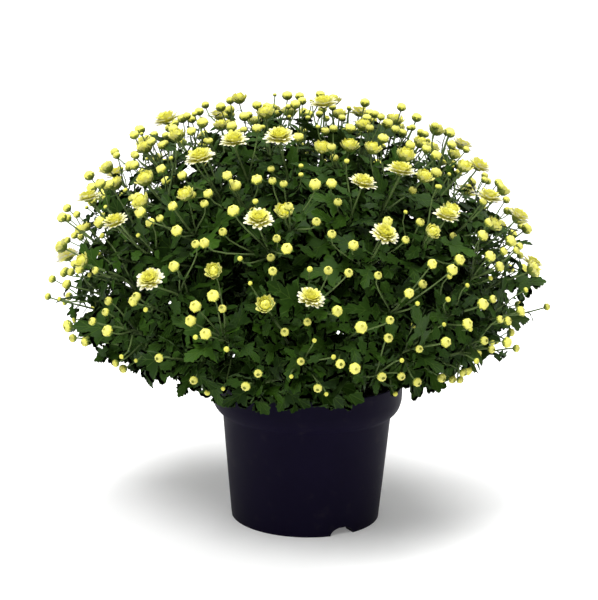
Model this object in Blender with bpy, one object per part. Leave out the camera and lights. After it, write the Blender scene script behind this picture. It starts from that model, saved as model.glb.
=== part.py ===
"""Pot chrysanthemum: a growing pot full of soil, leafy stems that branch into a dome, and open blooms on it.

Everything is in metres, +Z up. The origin is the middle of the pot's underside, and the plant's front
looks along -Y. The dome is divided into cells that meet at a hub just above the soil. Each leafy stem keeps
to its own cell, so that no leaf or bud of one stem crosses another stem.
"""

import math
import random

import bpy
from mathutils import Quaternion, Vector
from mathutils.geometry import intersect_point_line, intersect_ray_tri

SEED = 7
UP = Vector((0, 0, 1))
FULL_TURN = 2 * math.pi
GOLDEN_TURN = math.pi * (3 - math.sqrt(5))

# Pot: a round growing pot with a deep collar
POT_SIDES = 32
POT_HEIGHT = 0.148
RIM_RADIUS = 0.098
COLLAR_FOOT = 0.125
COLLAR_TAPER = 0.0005
BULGE_HEIGHT = 0.1165
BULGE_RADIUS = 0.0945
SHOULDER_HEIGHT = 0.109
SHOULDER_RADIUS = 0.0865
FOOT_RADIUS = 0.0765
WALL = 0.0016
LIP = 0.0022
FOOT_RING_WIDTH = 0.013
FOOT_PAD_RADIUS = 0.022
UNDERSIDE_RECESS = 0.004
FLOOR_HEIGHT = 0.0065
ARCH_ANGLES = (29.5, 149.5, 269.5)
ARCH_WIDTH = 0.026
ARCH_HEIGHT = 0.0085
ARCH_DEPTH = 0.025
ARCH_STEPS = 6
DRAIN_ANGLES = (45, 135, 225, 315)
DRAIN_RADIUS = 0.005
DRAIN_PLACE = 0.043
SHARP_ANGLE = 30

# Soil
GAP = 0.0003
SOIL_LEVEL = 0.133
SOIL_MOUND = 0.003
HOLE_DEPTH = 0.045
STRAIGHT_RISE = 0.005
HOLE_SPARE = 0.0008
HOLE_SIDES = 6

# Dome that the heads reach, and the hub where its cells meet
HUB = Vector((0, 0, 0.150))
DOME_RADIUS = 0.251
DOME_LEVEL = 0.229
DOME_RISE = 0.209
DOME_DROP = 0.108
DOME_LEAN = -0.014
FULLNESS_ABOVE = 2.12
FULLNESS_BELOW = 1.65
CELL_MARGIN = 0.0015
BARE_HEART = 0.100
CLEAR_OF_POT = 0.002
CLEAR_OF_HEADS = 0.003

# Stems: rings of (how many, elevation of the cell's middle, distance of the foot from the pot's axis)
STEM_RINGS = ((1, 90, 0.0), (6, 50, 0.014), (10, 15, 0.028))
STEM_RADIUS = 0.0031
STEM_TOP_RADIUS = 0.0024
STEM_SIDES = 4
SHOOT_RADIUS = 0.0017
SHOOT_BENDS = (0.72, 0.78)
STALK_RADIUS = 0.0012

# Core of small inner foliage that a stem's shoots grow out of, as shares of the dome's reach
CORE_CORNERS = 8
CORE_OUT = 0.64
CORE_IN = 0.52
CORE_LOW_ANGLE = 9
CORE_NICK = 0.70
CORE_WIDEST = 0.75
CORE_STEP = 0.02
CORE_GAP = 0.004
STEM_END = 0.58

# Leaves: half the blade's outline as (share of length, share of half width), and where they lie in the dome
LEAF_LENGTHS = (0.040, 0.064)
LEAF_WIDTH = 0.70
LEAF_THICKNESS = 0.0017
LEAF_FOLD = 0.22
LEAF_OUTLINE = ((0.20, 0.08), (0.33, 0.62), (0.44, 0.40), (0.63, 1.00), (0.72, 0.50))
LEAF_RIB = (0.42, 0.70)
LEAF_MIDDLE = 0.58
LEAVES = 200
LOWEST_LEAF = -12
LEAF_DEPTHS = (0.80, 0.93)
LEAF_LIMIT = 1.02
LEAF_BENDS = (0.35, 0.85)
LEAF_SPACING = 0.022
LEAF_ROOT_ZONE = 0.006
LEAF_TRIES = 24

# Flower heads: smallest and largest radius, and how near the dome they come as a share of its reach
HEAD_RADII = {
    "open": (0.0128, 0.0150),
    "cup": (0.0066, 0.0084),
    "bud": (0.0048, 0.0060),
    "ring": (0.0037, 0.0046),
}
HEAD_DEPTHS = (0.95, 1.03)
HEADS_APART = 0.0015
HEAD_LEAN = 0.18
BUD_FOOT = 0.9
SHOOTS = 104
SHOOT_CLEARANCE = 0.036
LOWEST_SHOOT = 11
CUPS_FROM = 26
BUDS_FROM = 20
CUP_SHARE = 0.46
SIDE_HEAD_SHARE = 0.43
SIDE_BUD_SHARE = 0.4
SIDE_SPREAD = (0.020, 0.034)
SIDE_DEPTHS = (0.90, 0.99)
LOWEST_SIDE_HEAD = 7

# Open bloom, as shares of its radius: whorls of (radius, height) at the petals' tips and between them
PETALS = 10
OUTER_WHORL = ((1.00, 0.12), (0.68, 0.10))
INNER_WHORL = ((0.50, 0.26), (0.62, 0.48))
BLOOM_SEAT = 0.25
BLOOM_SUNK = 0.35
BLOOM_TOP = 0.60

# Open blooms that face the front, as azimuth from the front and elevation above the hub, in degrees
FRONT_BLOOMS = (
    (-31, 61), (-38, 55), (-13, 43), (0, 29), (38, 44), (18, 41), (15, 52), (-36, 31),
    (16, 82), (74, 53), (77, 40), (58, 45), (-72, 40), (-52, 38), (30, 55), (-8, 66),
)
# Open blooms on the sides and the back
BACK_BLOOMS = (
    (95, 27), (108, 55), (128, 38), (152, 24), (158, 62), (180, 42),
    (-156, 28), (-142, 57), (-118, 38), (-98, 60), (-103, 22),
)

COLOURS = {
    "pot": ((0.012, 0.011, 0.018), 0.45),
    "soil": ((0.035, 0.022, 0.015), 0.95),
    "stem": ((0.035, 0.085, 0.018), 0.60),
    "bloom": ((0.85, 0.80, 0.30), 0.60),
}


def material(name):
    """A plain material of this colour and roughness."""
    colour, roughness = COLOURS[name]
    made = bpy.data.materials.new(name)
    made.use_nodes = True
    shader = made.node_tree.nodes["Principled BSDF"]
    shader.inputs["Base Color"].default_value = (*colour, 1)
    shader.inputs["Roughness"].default_value = roughness
    return made


def add(name, vertices, faces, finish=None):
    """A mesh object of these vertices and faces, turned so that its faces point out."""
    volume = 0.0
    for face in faces:
        for second, third in zip(face[1:-1], face[2:]):
            volume += vertices[face[0]].dot(vertices[second].cross(vertices[third]))
    if volume < 0:
        faces = [tuple(reversed(face)) for face in faces]
    mesh = bpy.data.meshes.new(name)
    mesh.from_pydata(vertices, [], faces)
    mesh.update()
    made = bpy.data.objects.new(name, mesh)
    bpy.context.scene.collection.objects.link(made)
    if finish:
        mesh.materials.append(finish)
    return made


def around(start, count):
    """Pairs of neighbours round a ring of points that begins at this index."""
    return [(start + i, start + (i + 1) % count) for i in range(count)]


def band(first, second, start, next_start):
    """Faces between two rings of points, which may have different counts."""
    if first == second:
        pairs = zip(around(start, first), around(next_start, second))
        return [(low, low_next, high_next, high) for (low, low_next), (high, high_next) in pairs]
    faces = []
    i = j = 0
    while i + j < first + second:
        a, b = start + i % first, next_start + j % second
        if j == second or (i < first and (i + 0.5) * second < (j + 0.5) * first):
            faces.append((a, start + (i + 1) % first, b))
            i += 1
        else:
            faces.append((a, next_start + (j + 1) % second, b))
            j += 1
    return faces


def ringed(rings):
    """A closed solid through rings of points. A ring of one point is a tip, and other ends are flat."""
    vertices = [point for ring in rings for point in ring]
    faces = []
    start = 0
    for ring, following in zip(rings[:-1], rings[1:]):
        next_start = start + len(ring)
        if len(ring) == 1:
            faces += [(start, j, i) for i, j in around(next_start, len(following))]
        elif len(following) == 1:
            faces += [(i, j, next_start) for i, j in around(start, len(ring))]
        else:
            faces += band(len(ring), len(following), start, next_start)
        start = next_start
    if len(rings[0]) > 1:
        faces.append(tuple(reversed(range(len(rings[0])))))
    if len(rings[-1]) > 1:
        faces.append(tuple(range(start, start + len(rings[-1]))))
    return vertices, faces


def circle(centre, axis, side, radius, count, phase=0.0):
    """Points round an axis, counted from the given side of it."""
    across = axis.cross(side)
    turns = [FULL_TURN * (i + phase) / count for i in range(count)]
    return [centre + (side * math.cos(turn) + across * math.sin(turn)) * radius for turn in turns]


def tube_rings(path, first_radius, last_radius, sides):
    """The rings of a round bar along a path, and the side that its last ring is counted from."""
    side = (path[1] - path[0]).orthogonal().normalized()
    rings = []
    for i, point in enumerate(path):
        along = (path[min(i + 1, len(path) - 1)] - path[max(i - 1, 0)]).normalized()
        side = (side - along * side.dot(along)).normalized()
        radius = first_radius + (last_radius - first_radius) * i / (len(path) - 1)
        rings.append(circle(point, along, side, radius, sides))
    return rings, side


def turned(profile, sides):
    """A solid of revolution about Z: its profile starts and ends on the axis, as (radius, height) points."""
    rings = [circle(UP * height, UP, Vector((1, 0, 0)), radius, sides) for radius, height in profile[1:-1]]
    return ringed([[UP * profile[0][1]], *rings, [UP * profile[-1][1]]])


def bezier(start, start_handle, end_handle, end, count):
    """Points along a cubic curve."""
    points = []
    for i in range(count):
        t = i / (count - 1)
        s = 1 - t
        near = start * s**3 + start_handle * (3 * s * s * t)
        points.append(near + end_handle * (3 * s * t * t) + end * t**3)
    return points


def towards(azimuth, elevation):
    """A unit vector, from angles in degrees: azimuth runs from the front towards +X."""
    turn, lift = math.radians(azimuth), math.radians(elevation)
    return Vector((math.sin(turn) * math.cos(lift), -math.cos(turn) * math.cos(lift), math.sin(lift)))


def elevation_of(direction):
    """The direction's angle above the horizontal, in degrees."""
    return math.degrees(math.asin(max(-1.0, min(1.0, direction.z))))


def tilted(direction, angle, turn):
    """The direction leant by an angle, towards the side that turn names."""
    side = Quaternion(direction, turn) @ direction.orthogonal().normalized()
    return Quaternion(side, angle) @ direction


def lattice(count, lowest, phase):
    """Directions spread evenly from straight up down to the lowest elevation, turned by the phase."""
    foot = math.sin(math.radians(lowest))
    for i in range(count):
        height = 1 - (1 - foot) * (i + 0.5) / count
        flat, turn = math.sqrt(1 - height * height), i * GOLDEN_TURN + phase
        yield Vector((flat * math.sin(turn), -flat * math.cos(turn), height))


def dome_half(point):
    """How far the point is above the dome's widest level, and how deep and how full that half is."""
    rise = point.z - DOME_LEVEL
    return (rise, DOME_RISE, FULLNESS_ABOVE) if rise >= 0 else (rise, DOME_DROP, FULLNESS_BELOW)


def dome_share(point):
    """Below 1 inside the dome, 1 on it."""
    rise, depth, power = dome_half(point)
    flat = math.hypot(point.x - DOME_LEAN, point.y) / DOME_RADIUS
    return (flat**power + (abs(rise) / depth) ** power) ** (1 / power)


def dome_normal(point):
    """The dome's outward direction at a point on it."""
    rise, depth, power = dome_half(point)
    arm = Vector((point.x - DOME_LEAN, point.y, 0)) / DOME_RADIUS
    flat = arm * arm.length ** (power - 2) / DOME_RADIUS
    return (flat + UP * math.copysign((abs(rise) / depth) ** (power - 1) / depth, rise)).normalized()


def reach(direction):
    """How far the dome is from the hub in this direction."""
    near, far = 0.05, 0.40
    for _ in range(24):
        middle = (near + far) / 2
        if dome_share(HUB + direction * middle) < 1:
            near = middle
        else:
            far = middle
    return near


def stem_plans():
    """One plan for each leafy stem: the middle and walls of its cell, its foot, its heads and its leaves."""
    draw = random.Random(SEED)
    plans = []
    for ring, (count, elevation, foot) in enumerate(STEM_RINGS):
        for i in range(count):
            azimuth = 360 * (i + 0.5 * ring) / count + draw.uniform(-5, 5)
            middle = towards(azimuth, elevation + (draw.uniform(-3, 3) if ring else 0))
            foot_place = towards(azimuth, 0) * foot + UP * SOIL_LEVEL
            plan = {"ring": ring, "middle": middle, "foot": foot_place, "heads": [], "leaves": []}
            plan["path"] = stem_path(plan)
            plans.append(plan)
    middles = [plan["middle"] for plan in plans]
    for plan in plans:
        own = plan["middle"]
        plan["walls"] = [(own - other).normalized() for other in middles if other is not own]
    return plans


def stem_path(plan):
    """From the bottom of its hole in the soil, up and out into the core."""
    middle, foot = plan["middle"], plan["foot"]
    top = HUB + middle * reach(middle) * STEM_END
    bend = foot + UP * STRAIGHT_RISE
    return [foot - UP * (HOLE_DEPTH - GAP), *bezier(bend, bend + UP * 0.03, top - middle * 0.06, top, 5)]


def room(plan, point):
    """How far the point is from the nearest wall of the stem's cell: negative outside it."""
    arm = point - HUB
    return min(arm.dot(wall) for wall in plan["walls"])


def clear_of_pot(point):
    """True beside the pot or above it, and off its rim."""
    beside = math.hypot(point.x, point.y) > RIM_RADIUS + CLEAR_OF_POT
    return beside or point.z > POT_HEIGHT + CLEAR_OF_POT


def shoot_ends():
    """Directions of the shoots' tips, evenly over the dome, each with its kind of head."""
    draw = random.Random(SEED + 1)
    ends = [(towards(*angles), "open") for angles in FRONT_BLOOMS + BACK_BLOOMS]
    blooms = [HUB + direction * reach(direction) for direction, _ in ends]
    for direction in lattice(SHOOTS, LOWEST_SHOOT, 0.0):
        place = HUB + direction * reach(direction)
        if all((bloom - place).length > SHOOT_CLEARANCE for bloom in blooms):
            ends.append((direction, shoot_kind(direction, draw.random())))
    return ends


def shoot_kind(direction, chance):
    """Half-open cups and fat buds grow high up, and only small buds low down."""
    height = elevation_of(direction)
    if height > CUPS_FROM and chance < CUP_SHARE:
        return "cup"
    return "bud" if height > BUDS_FROM else "ring"


def head_at(plan, direction, kind, depth, draw):
    """A head of this kind in that direction, moved in from the cell's walls, or None where it can't fit."""
    radius = draw.uniform(*HEAD_RADII[kind])
    sunk = BLOOM_SUNK * radius if kind == "open" else radius
    for _ in range(30):
        centre = HUB + direction * (reach(direction) * depth - sunk)
        if room(plan, centre) > radius + CELL_MARGIN:
            break
        direction = (direction + plan["middle"] * 0.06).normalized()
    else:
        return None
    lean = Vector((draw.uniform(-1, 1), draw.uniform(-1, 1), 0)) * HEAD_LEAN
    axis = (dome_normal(centre) * 0.5 + UP * 0.65 + lean).normalized()
    return {"kind": kind, "centre": centre, "axis": axis, "radius": radius, "direction": direction}


def head_foot(head):
    """Where the head's stalk ends: inside a bud, or just under an open bloom, which is a piece of its own."""
    if head["kind"] == "open":
        below = BLOOM_SEAT * head["radius"] + GAP
    else:
        below = BUD_FOOT * head["radius"]
    return head["centre"] - head["axis"] * below


def near_path(path, head):
    """True where the path comes close to the head."""
    for start, end in zip(path[:-1], path[1:]):
        nearest, share = intersect_point_line(head["centre"], start, end)
        nearest = start if share < 0 else end if share > 1 else nearest
        if (nearest - head["centre"]).length < head["radius"] + CLEAR_OF_HEADS:
            return True
    return False


def add_head(plan, head, path):
    """Gives the stem this head on its shoot or stalk, unless it touches another head or its stalk."""
    for other in plan["heads"]:
        if (other["centre"] - head["centre"]).length < other["radius"] + head["radius"] + HEADS_APART:
            return False
        if near_path(path, other) or near_path(other["path"], head):
            return False
    head["path"] = path
    plan["heads"].append(head)
    return True


def plan_heads(plans):
    """Gives each stem its shoots, each with a head at its tip, and smaller heads beside most of them."""
    draw = random.Random(SEED + 2)
    for direction, kind in shoot_ends():
        plan = max(plans, key=lambda one: one["middle"].dot(direction))
        depth = 1.0 if kind == "open" else draw.uniform(*HEAD_DEPTHS)
        head = head_at(plan, direction, kind, depth, draw)
        if head is None:
            continue
        root = plan["path"][-1].lerp(plan["path"][-2], draw.uniform(0.0, 0.3))
        bend = HUB + head["direction"] * reach(head["direction"]) * draw.uniform(*SHOOT_BENDS)
        path = [root, bend, head_foot(head)]
        head["side"] = False
        if add_head(plan, head, path) and draw.random() < SIDE_HEAD_SHARE:
            add_side_head(plan, head, draw)


def add_side_head(plan, main, draw):
    """A smaller head on a stalk of its own from the shoot of the main one."""
    kind = "bud" if draw.random() < SIDE_BUD_SHARE and main["kind"] != "ring" else "ring"
    for _ in range(8):
        angle = draw.uniform(*SIDE_SPREAD) / reach(main["direction"])
        way = tilted(main["direction"], angle, draw.uniform(0, FULL_TURN))
        head = head_at(plan, way, kind, draw.uniform(*SIDE_DEPTHS), draw)
        if head is None or elevation_of(way) < LOWEST_SIDE_HEAD:
            continue
        start = main["path"][1].lerp(main["path"][2], draw.uniform(0.0, 0.5))
        head["side"] = True
        if add_head(plan, head, [start, head_foot(head)]):
            return


def leaf_points(leaf):
    """(outline, upper rib, lower rib) of a lobed blade that arches down from its root."""
    along, up = leaf["along"], leaf["up"]
    across = along.cross(up)
    length, bend = leaf["length"], leaf["bend"]
    half_width = length * LEAF_WIDTH / 2

    def rib(share):
        turn = bend * share
        return leaf["root"] + (along * math.sin(turn) - up * (1 - math.cos(turn))) * length / bend

    def lifted(share, amount):
        turn = bend * share
        return (up * math.cos(turn) + along * math.sin(turn)) * amount

    def edge(share, width, sign):
        lift = LEAF_FOLD * half_width * width * (0.6 + 0.4 * math.cos(9 * share + leaf["wave"]))
        return rib(share) + across * (sign * width * half_width) + lifted(share, lift)

    left = [edge(share, width, -1) for share, width in LEAF_OUTLINE]
    right = [edge(share, width, 1) for share, width in LEAF_OUTLINE]
    outline = [rib(0), *left, rib(1), *reversed(right)]
    upper = [rib(share) + lifted(share, LEAF_THICKNESS / 2) for share in LEAF_RIB]
    lower = [rib(share) - lifted(share, LEAF_THICKNESS / 2) for share in LEAF_RIB]
    return outline, upper, lower


def leaf_solid(leaf):
    """The blade: thick along the rib, thin at the edges, with the same triangles above and below."""
    outline, upper, lower = leaf_points(leaf)
    tip = len(LEAF_OUTLINE) + 1
    faces = []
    for first, flip in ((len(outline), False), (len(outline) + len(upper), True)):
        second = first + 1
        for mirrored in (False, True):
            edge = [(len(outline) - k) % len(outline) if mirrored else k for k in range(tip + 1)]
            found = [(edge[k], edge[k + 1], first) for k in range(3)]
            found += [(edge[3], second, first)]
            found += [(edge[k], edge[k + 1], second) for k in range(3, tip)]
            if mirrored != flip:
                found = [tuple(reversed(face)) for face in found]
            faces += found
    return [*outline, *upper, *lower], faces


def crosses(path, leaf):
    """True where the path passes through the blade, except close to the leaf's root."""
    vertices, faces = leaf["solid"]
    for start, end in zip(path[:-1], path[1:]):
        for face in faces[: len(faces) // 2]:
            hit = intersect_ray_tri(*[vertices[index] for index in face], end - start, start)
            if hit is None or (hit - start).length > (end - start).length:
                continue
            if (hit - leaf["root"]).length > LEAF_ROOT_ZONE:
                return True
    return False


def leaf_fits(plan, leaf):
    """True where the leaf stays in its cell, off the pot, off the heads and off the other leaves."""
    outline, upper, _ = leaf_points(leaf)
    samples = outline[1:] + upper
    samples += [a.lerp(b, 0.5) for a, b in zip(outline[1:-1], outline[2:])]
    samples += [point.lerp(upper[k // 6], 0.5) for k, point in enumerate(outline[1:])]
    for point in samples:
        if room(plan, point) < CELL_MARGIN or not clear_of_pot(point):
            return False
        if (point - HUB).length < BARE_HEART or dome_share(point) > LEAF_LIMIT:
            return False
        for head in plan["heads"]:
            if (point - head["centre"]).length < head["radius"] + CLEAR_OF_HEADS:
                return False
    leaf["middle"] = upper[0].lerp(upper[1], 0.5)
    leaf["solid"] = leaf_solid(leaf)
    if any(crosses(head["path"], leaf) for head in plan["heads"]):
        return False
    for other in plan["leaves"]:
        distance = (other["middle"] - leaf["middle"]).length
        if distance < LEAF_SPACING:
            return False
        near = distance < LEAF_LENGTHS[1]
        if near and (crosses(outline, other) or crosses(leaf_points(other)[0], leaf)):
            return False
    return True


def leaf_roots(plan):
    """Places on the stem and its shoots that a leaf may grow from."""
    roots = [plan["path"][-2].lerp(plan["path"][-1], k / 4) for k in range(4)] if plan["ring"] == 2 else []
    for head in plan["heads"]:
        if not head["side"]:
            start, bend, tip = head["path"]
            roots += [start.lerp(bend, 0.7), start.lerp(bend, 0.85)]
            roots += [bend.lerp(tip, k / 6) for k in range(5)]
    return roots


def grow_leaf(plan, middle, roots, draw):
    """A leaf whose blade lies about this point and which grows from the root that suits it best."""
    wanted = draw.uniform(*LEAF_LENGTHS) * LEAF_MIDDLE

    def misfit(root):
        arm = middle - root
        rise = arm.dot((middle - HUB).normalized())
        return abs(arm.length - wanted) + max(0.0, -rise) * 2

    root = min(roots, key=misfit)
    arm = middle - root
    out = (middle - HUB).normalized()
    bend = draw.uniform(*LEAF_BENDS)
    along = arm.normalized()
    up = (out - along * out.dot(along)).normalized()
    raised = Quaternion(along.cross(up), bend * LEAF_MIDDLE / 2)
    leaf = {"root": root, "along": raised @ along, "up": raised @ up, "bend": bend}
    leaf["length"] = min(max(arm.length / LEAF_MIDDLE, LEAF_LENGTHS[0]), LEAF_LENGTHS[1])
    leaf["wave"] = draw.uniform(0, FULL_TURN)
    return leaf


def plan_leaves(plans):
    """Spreads leaves evenly through the outer layer of the dome, each on the stem whose cell it lies in."""
    draw = random.Random(SEED + 3)
    for direction in lattice(LEAVES, LOWEST_LEAF, 1.0):
        plan = max(plans, key=lambda one: one["middle"].dot(direction))
        roots = leaf_roots(plan)
        for attempt in range(LEAF_TRIES):
            way = direction + plan["middle"] * 0.5 * attempt / LEAF_TRIES
            way = tilted(way.normalized(), draw.uniform(0, 0.08), draw.uniform(0, FULL_TURN))
            middle = HUB + way * reach(way) * draw.uniform(*LEAF_DEPTHS)
            leaf = grow_leaf(plan, middle, roots, draw)
            if leaf_fits(plan, leaf):
                plan["leaves"].append(leaf)
                break


def cell_edge(plan, turn):
    """The angle from the middle of the stem's cell to its edge on one side, above the lowest angle."""
    angle = 0.0
    while angle < CORE_WIDEST:
        way = tilted(plan["middle"], angle + CORE_STEP, turn)
        if room(plan, HUB + way * reach(way)) < CORE_GAP or elevation_of(way) < CORE_LOW_ANGLE:
            break
        angle += CORE_STEP
    return angle


def core_solid(plan, draw):
    """The dense inner foliage of a stem: a ragged clump that fills the inner part of its cell."""

    def ragged(share, spread, nick):
        points = []
        for i in range(CORE_CORNERS):
            turn = FULL_TURN * i / CORE_CORNERS
            inset = nick if i % 2 else 1
            way = tilted(plan["middle"], cell_edge(plan, turn) * spread * inset, turn)
            points.append(HUB + way * reach(way) * share * math.sqrt(inset) * draw.uniform(0.95, 1.05))
        return points

    middle = plan["middle"]
    low = HUB + middle * reach(middle) * CORE_IN
    high = HUB + middle * reach(middle) * CORE_OUT
    return ringed([[low], ragged(CORE_IN, 0.8, 1), ragged(CORE_OUT, 0.97, CORE_NICK), [high]])


def stalked_head(head):
    """A shoot or stalk that widens into its head: a bud, or a half-open crown of upright petals."""
    centre, axis, r = head["centre"], head["axis"], head["radius"]
    radius = STALK_RADIUS if head["side"] else SHOOT_RADIUS
    rings, side = tube_rings(head["path"], radius, radius, 3)
    side = (side - axis * side.dot(axis)).normalized()
    rings[-1] = circle(head["path"][-1], axis, side, radius * 0.8, 3)
    if head["kind"] == "open":
        return ringed(rings)
    if head["kind"] == "cup":
        tips = circle(centre + axis * 0.75 * r, axis, side, r, 6)
        notches = circle(centre + axis * 0.30 * r, axis, side, 0.74 * r, 6, 0.5)
        crown = [point for pair in zip(tips, notches) for point in pair]
        return ringed([*rings, crown, [centre + axis * 0.45 * r]])
    belly = circle(centre - axis * 0.1 * r, axis, side, r, 6)
    brow = circle(centre + axis * 0.75 * r, axis, side, 0.62 * r, 3)
    return ringed([*rings, belly, brow])


def fuse(name, solids, finish):
    """One object that is the union of these closed solids."""
    pieces = [add(f"{name}_piece", *solid) for solid in solids]
    base, others = pieces[0], pieces[1:]
    bag = bpy.data.collections.new(name + "_pieces")
    bpy.context.scene.collection.children.link(bag)
    for piece in others:
        bpy.context.scene.collection.objects.unlink(piece)
        bag.objects.link(piece)
    union = base.modifiers.new("fuse", "BOOLEAN")
    union.operation = "UNION"
    union.operand_type = "COLLECTION"
    union.collection = bag
    union.solver = "MANIFOLD"
    graph = bpy.context.evaluated_depsgraph_get()
    fused = bpy.data.meshes.new_from_object(base.evaluated_get(graph))
    base.modifiers.clear()
    base.data = fused
    base.name = fused.name = name
    fused.materials.clear()
    fused.materials.append(finish)
    for piece in others:
        bpy.data.objects.remove(piece)
    bpy.data.collections.remove(bag)
    return base


def cut(target, cutter):
    """Takes the cutter's shape out of the target, and hides the cutter."""
    cutter.hide_render = True
    cutter.display_type = "WIRE"
    made = target.modifiers.new("cut", "BOOLEAN")
    made.operation = "DIFFERENCE"
    made.object = cutter
    made.solver = "EXACT"


def arch_cutter(angle):
    """A low tunnel through the pot's foot ring and the edge of its floor."""
    out = towards(angle, 0)
    side = out.cross(UP)
    turns = [math.pi * i / ARCH_STEPS for i in range(ARCH_STEPS + 1)]
    arch = [side * math.cos(turn) * ARCH_WIDTH / 2 + UP * math.sin(turn) * ARCH_HEIGHT for turn in turns]
    arch.append(-UP * ARCH_HEIGHT)
    ends = (FOOT_RADIUS - ARCH_DEPTH * 0.75, FOOT_RADIUS + ARCH_DEPTH * 0.25)
    return ringed([[out * distance + point for point in arch] for distance in ends])


def make_pot():
    """The growing pot, with arches in its foot ring and drain holes in its floor."""
    inner_collar = RIM_RADIUS - COLLAR_TAPER - WALL
    profile = [
        (0, 0),
        (FOOT_PAD_RADIUS, 0),
        (FOOT_PAD_RADIUS + 0.002, UNDERSIDE_RECESS),
        (FOOT_RADIUS - FOOT_RING_WIDTH - 0.002, UNDERSIDE_RECESS),
        (FOOT_RADIUS - FOOT_RING_WIDTH, 0),
        (FOOT_RADIUS, 0),
        (SHOULDER_RADIUS, SHOULDER_HEIGHT),
        (BULGE_RADIUS, BULGE_HEIGHT),
        (RIM_RADIUS - COLLAR_TAPER, COLLAR_FOOT),
        (RIM_RADIUS, POT_HEIGHT),
        (RIM_RADIUS - LIP, POT_HEIGHT),
        (inner_collar, COLLAR_FOOT),
        (BULGE_RADIUS - WALL, BULGE_HEIGHT),
        (SHOULDER_RADIUS - WALL, SHOULDER_HEIGHT),
        (FOOT_RADIUS - WALL, FLOOR_HEIGHT),
        (0, FLOOR_HEIGHT),
    ]
    pot = add("pot", *turned(profile, POT_SIDES), material("pot"))
    pot.data.shade_smooth()
    pot.data.set_sharp_from_angle(angle=math.radians(SHARP_ANGLE))
    for i, angle in enumerate(ARCH_ANGLES):
        cut(pot, add(f"arch_cutter_{i}", *arch_cutter(angle)))
    for i, angle in enumerate(DRAIN_ANGLES):
        place = towards(angle, 0) * DRAIN_PLACE
        path = [place - UP * FLOOR_HEIGHT, place + UP * FLOOR_HEIGHT * 2]
        cut(pot, add(f"drain_cutter_{i}", *ringed(tube_rings(path, DRAIN_RADIUS, DRAIN_RADIUS, 8)[0])))
    return pot


def make_soil(plans):
    """The soil that fills the pot, slightly mounded, with a plain hole for each stem."""
    inner_collar = RIM_RADIUS - COLLAR_TAPER - WALL - GAP
    profile = [
        (0, FLOOR_HEIGHT + GAP),
        (FOOT_RADIUS - WALL - 2 * GAP, FLOOR_HEIGHT + GAP),
        (SHOULDER_RADIUS - WALL - GAP, SHOULDER_HEIGHT),
        (BULGE_RADIUS - WALL - GAP, BULGE_HEIGHT + GAP),
        (inner_collar, COLLAR_FOOT + GAP),
        (inner_collar, SOIL_LEVEL - SOIL_MOUND),
        (0, SOIL_LEVEL + SOIL_MOUND),
    ]
    soil = add("soil", *turned(profile, POT_SIDES), material("soil"))
    vertices, faces = [], []
    for plan in plans:
        path = [plan["foot"] - UP * HOLE_DEPTH, plan["foot"] + UP * 0.010]
        radius = STEM_RADIUS + HOLE_SPARE
        hole_vertices, hole_faces = ringed(tube_rings(path, radius, radius, HOLE_SIDES)[0])
        faces += [tuple(index + len(vertices) for index in face) for face in hole_faces]
        vertices += hole_vertices
    cut(soil, add("stem_holes_cutter", vertices, faces))
    return soil


def make_stem(name, plan, finish, draw):
    """A leafy stem with its core, shoots, leaves and buds, all in one body."""
    stem = ringed(tube_rings(plan["path"], STEM_RADIUS, STEM_TOP_RADIUS, STEM_SIDES)[0])
    solids = [stem, core_solid(plan, draw)]
    solids += [stalked_head(head) for head in plan["heads"]]
    solids += [leaf["solid"] for leaf in plan["leaves"]]
    return fuse(name, solids, finish)


def make_bloom(name, head, finish):
    """An open head: a flat whorl of outer petals, and a raised whorl of inner ones round a domed middle."""
    centre, axis, r = head["centre"], head["axis"], head["radius"]
    side = axis.orthogonal().normalized()

    def whorl(even, odd):
        tips = circle(centre + axis * even[1] * r, axis, side, even[0] * r, PETALS)
        between = circle(centre + axis * odd[1] * r, axis, side, odd[0] * r, PETALS, 0.5)
        return [point for pair in zip(tips, between) for point in pair]

    foot = centre - axis * BLOOM_SEAT * r
    top = centre + axis * BLOOM_TOP * r
    return add(name, *ringed([[foot], whorl(*OUTER_WHORL), whorl(*INNER_WHORL), [top]]), finish)


def main():
    """Builds every piece of the plant in an empty scene."""
    for old in list(bpy.data.objects):
        bpy.data.objects.remove(old)
    plans = stem_plans()
    plan_heads(plans)
    plan_leaves(plans)
    make_pot()
    make_soil(plans)
    green, yellow = material("stem"), material("bloom")
    draw = random.Random(SEED + 4)
    for i, plan in enumerate(plans):
        make_stem(f"leafy_stem_{i + 1:02d}", plan, green, draw)
    blooms = [head for plan in plans for head in plan["heads"] if head["kind"] == "open"]
    for i, head in enumerate(blooms):
        make_bloom(f"open_bloom_{i + 1:02d}", head, yellow)


main()
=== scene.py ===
"""Looks of the pot chrysanthemum: fine leaves, stalks, flower heads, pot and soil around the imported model.

The plan of the stems, heads and leaves repeats the seeded rule that the solids come from, so that every fine
piece lies where its solid is. Finer growth on the same stems follows: more heads, more leaves, small bracts.
Everything is in metres, +Z up, with the plant's front towards -Y.
"""

import math
import random

import bpy
import numpy as np
from mathutils import Matrix, Quaternion, Vector
from mathutils.geometry import delaunay_2d_cdt, intersect_point_line, intersect_ray_tri
from mathutils.kdtree import KDTree


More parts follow.
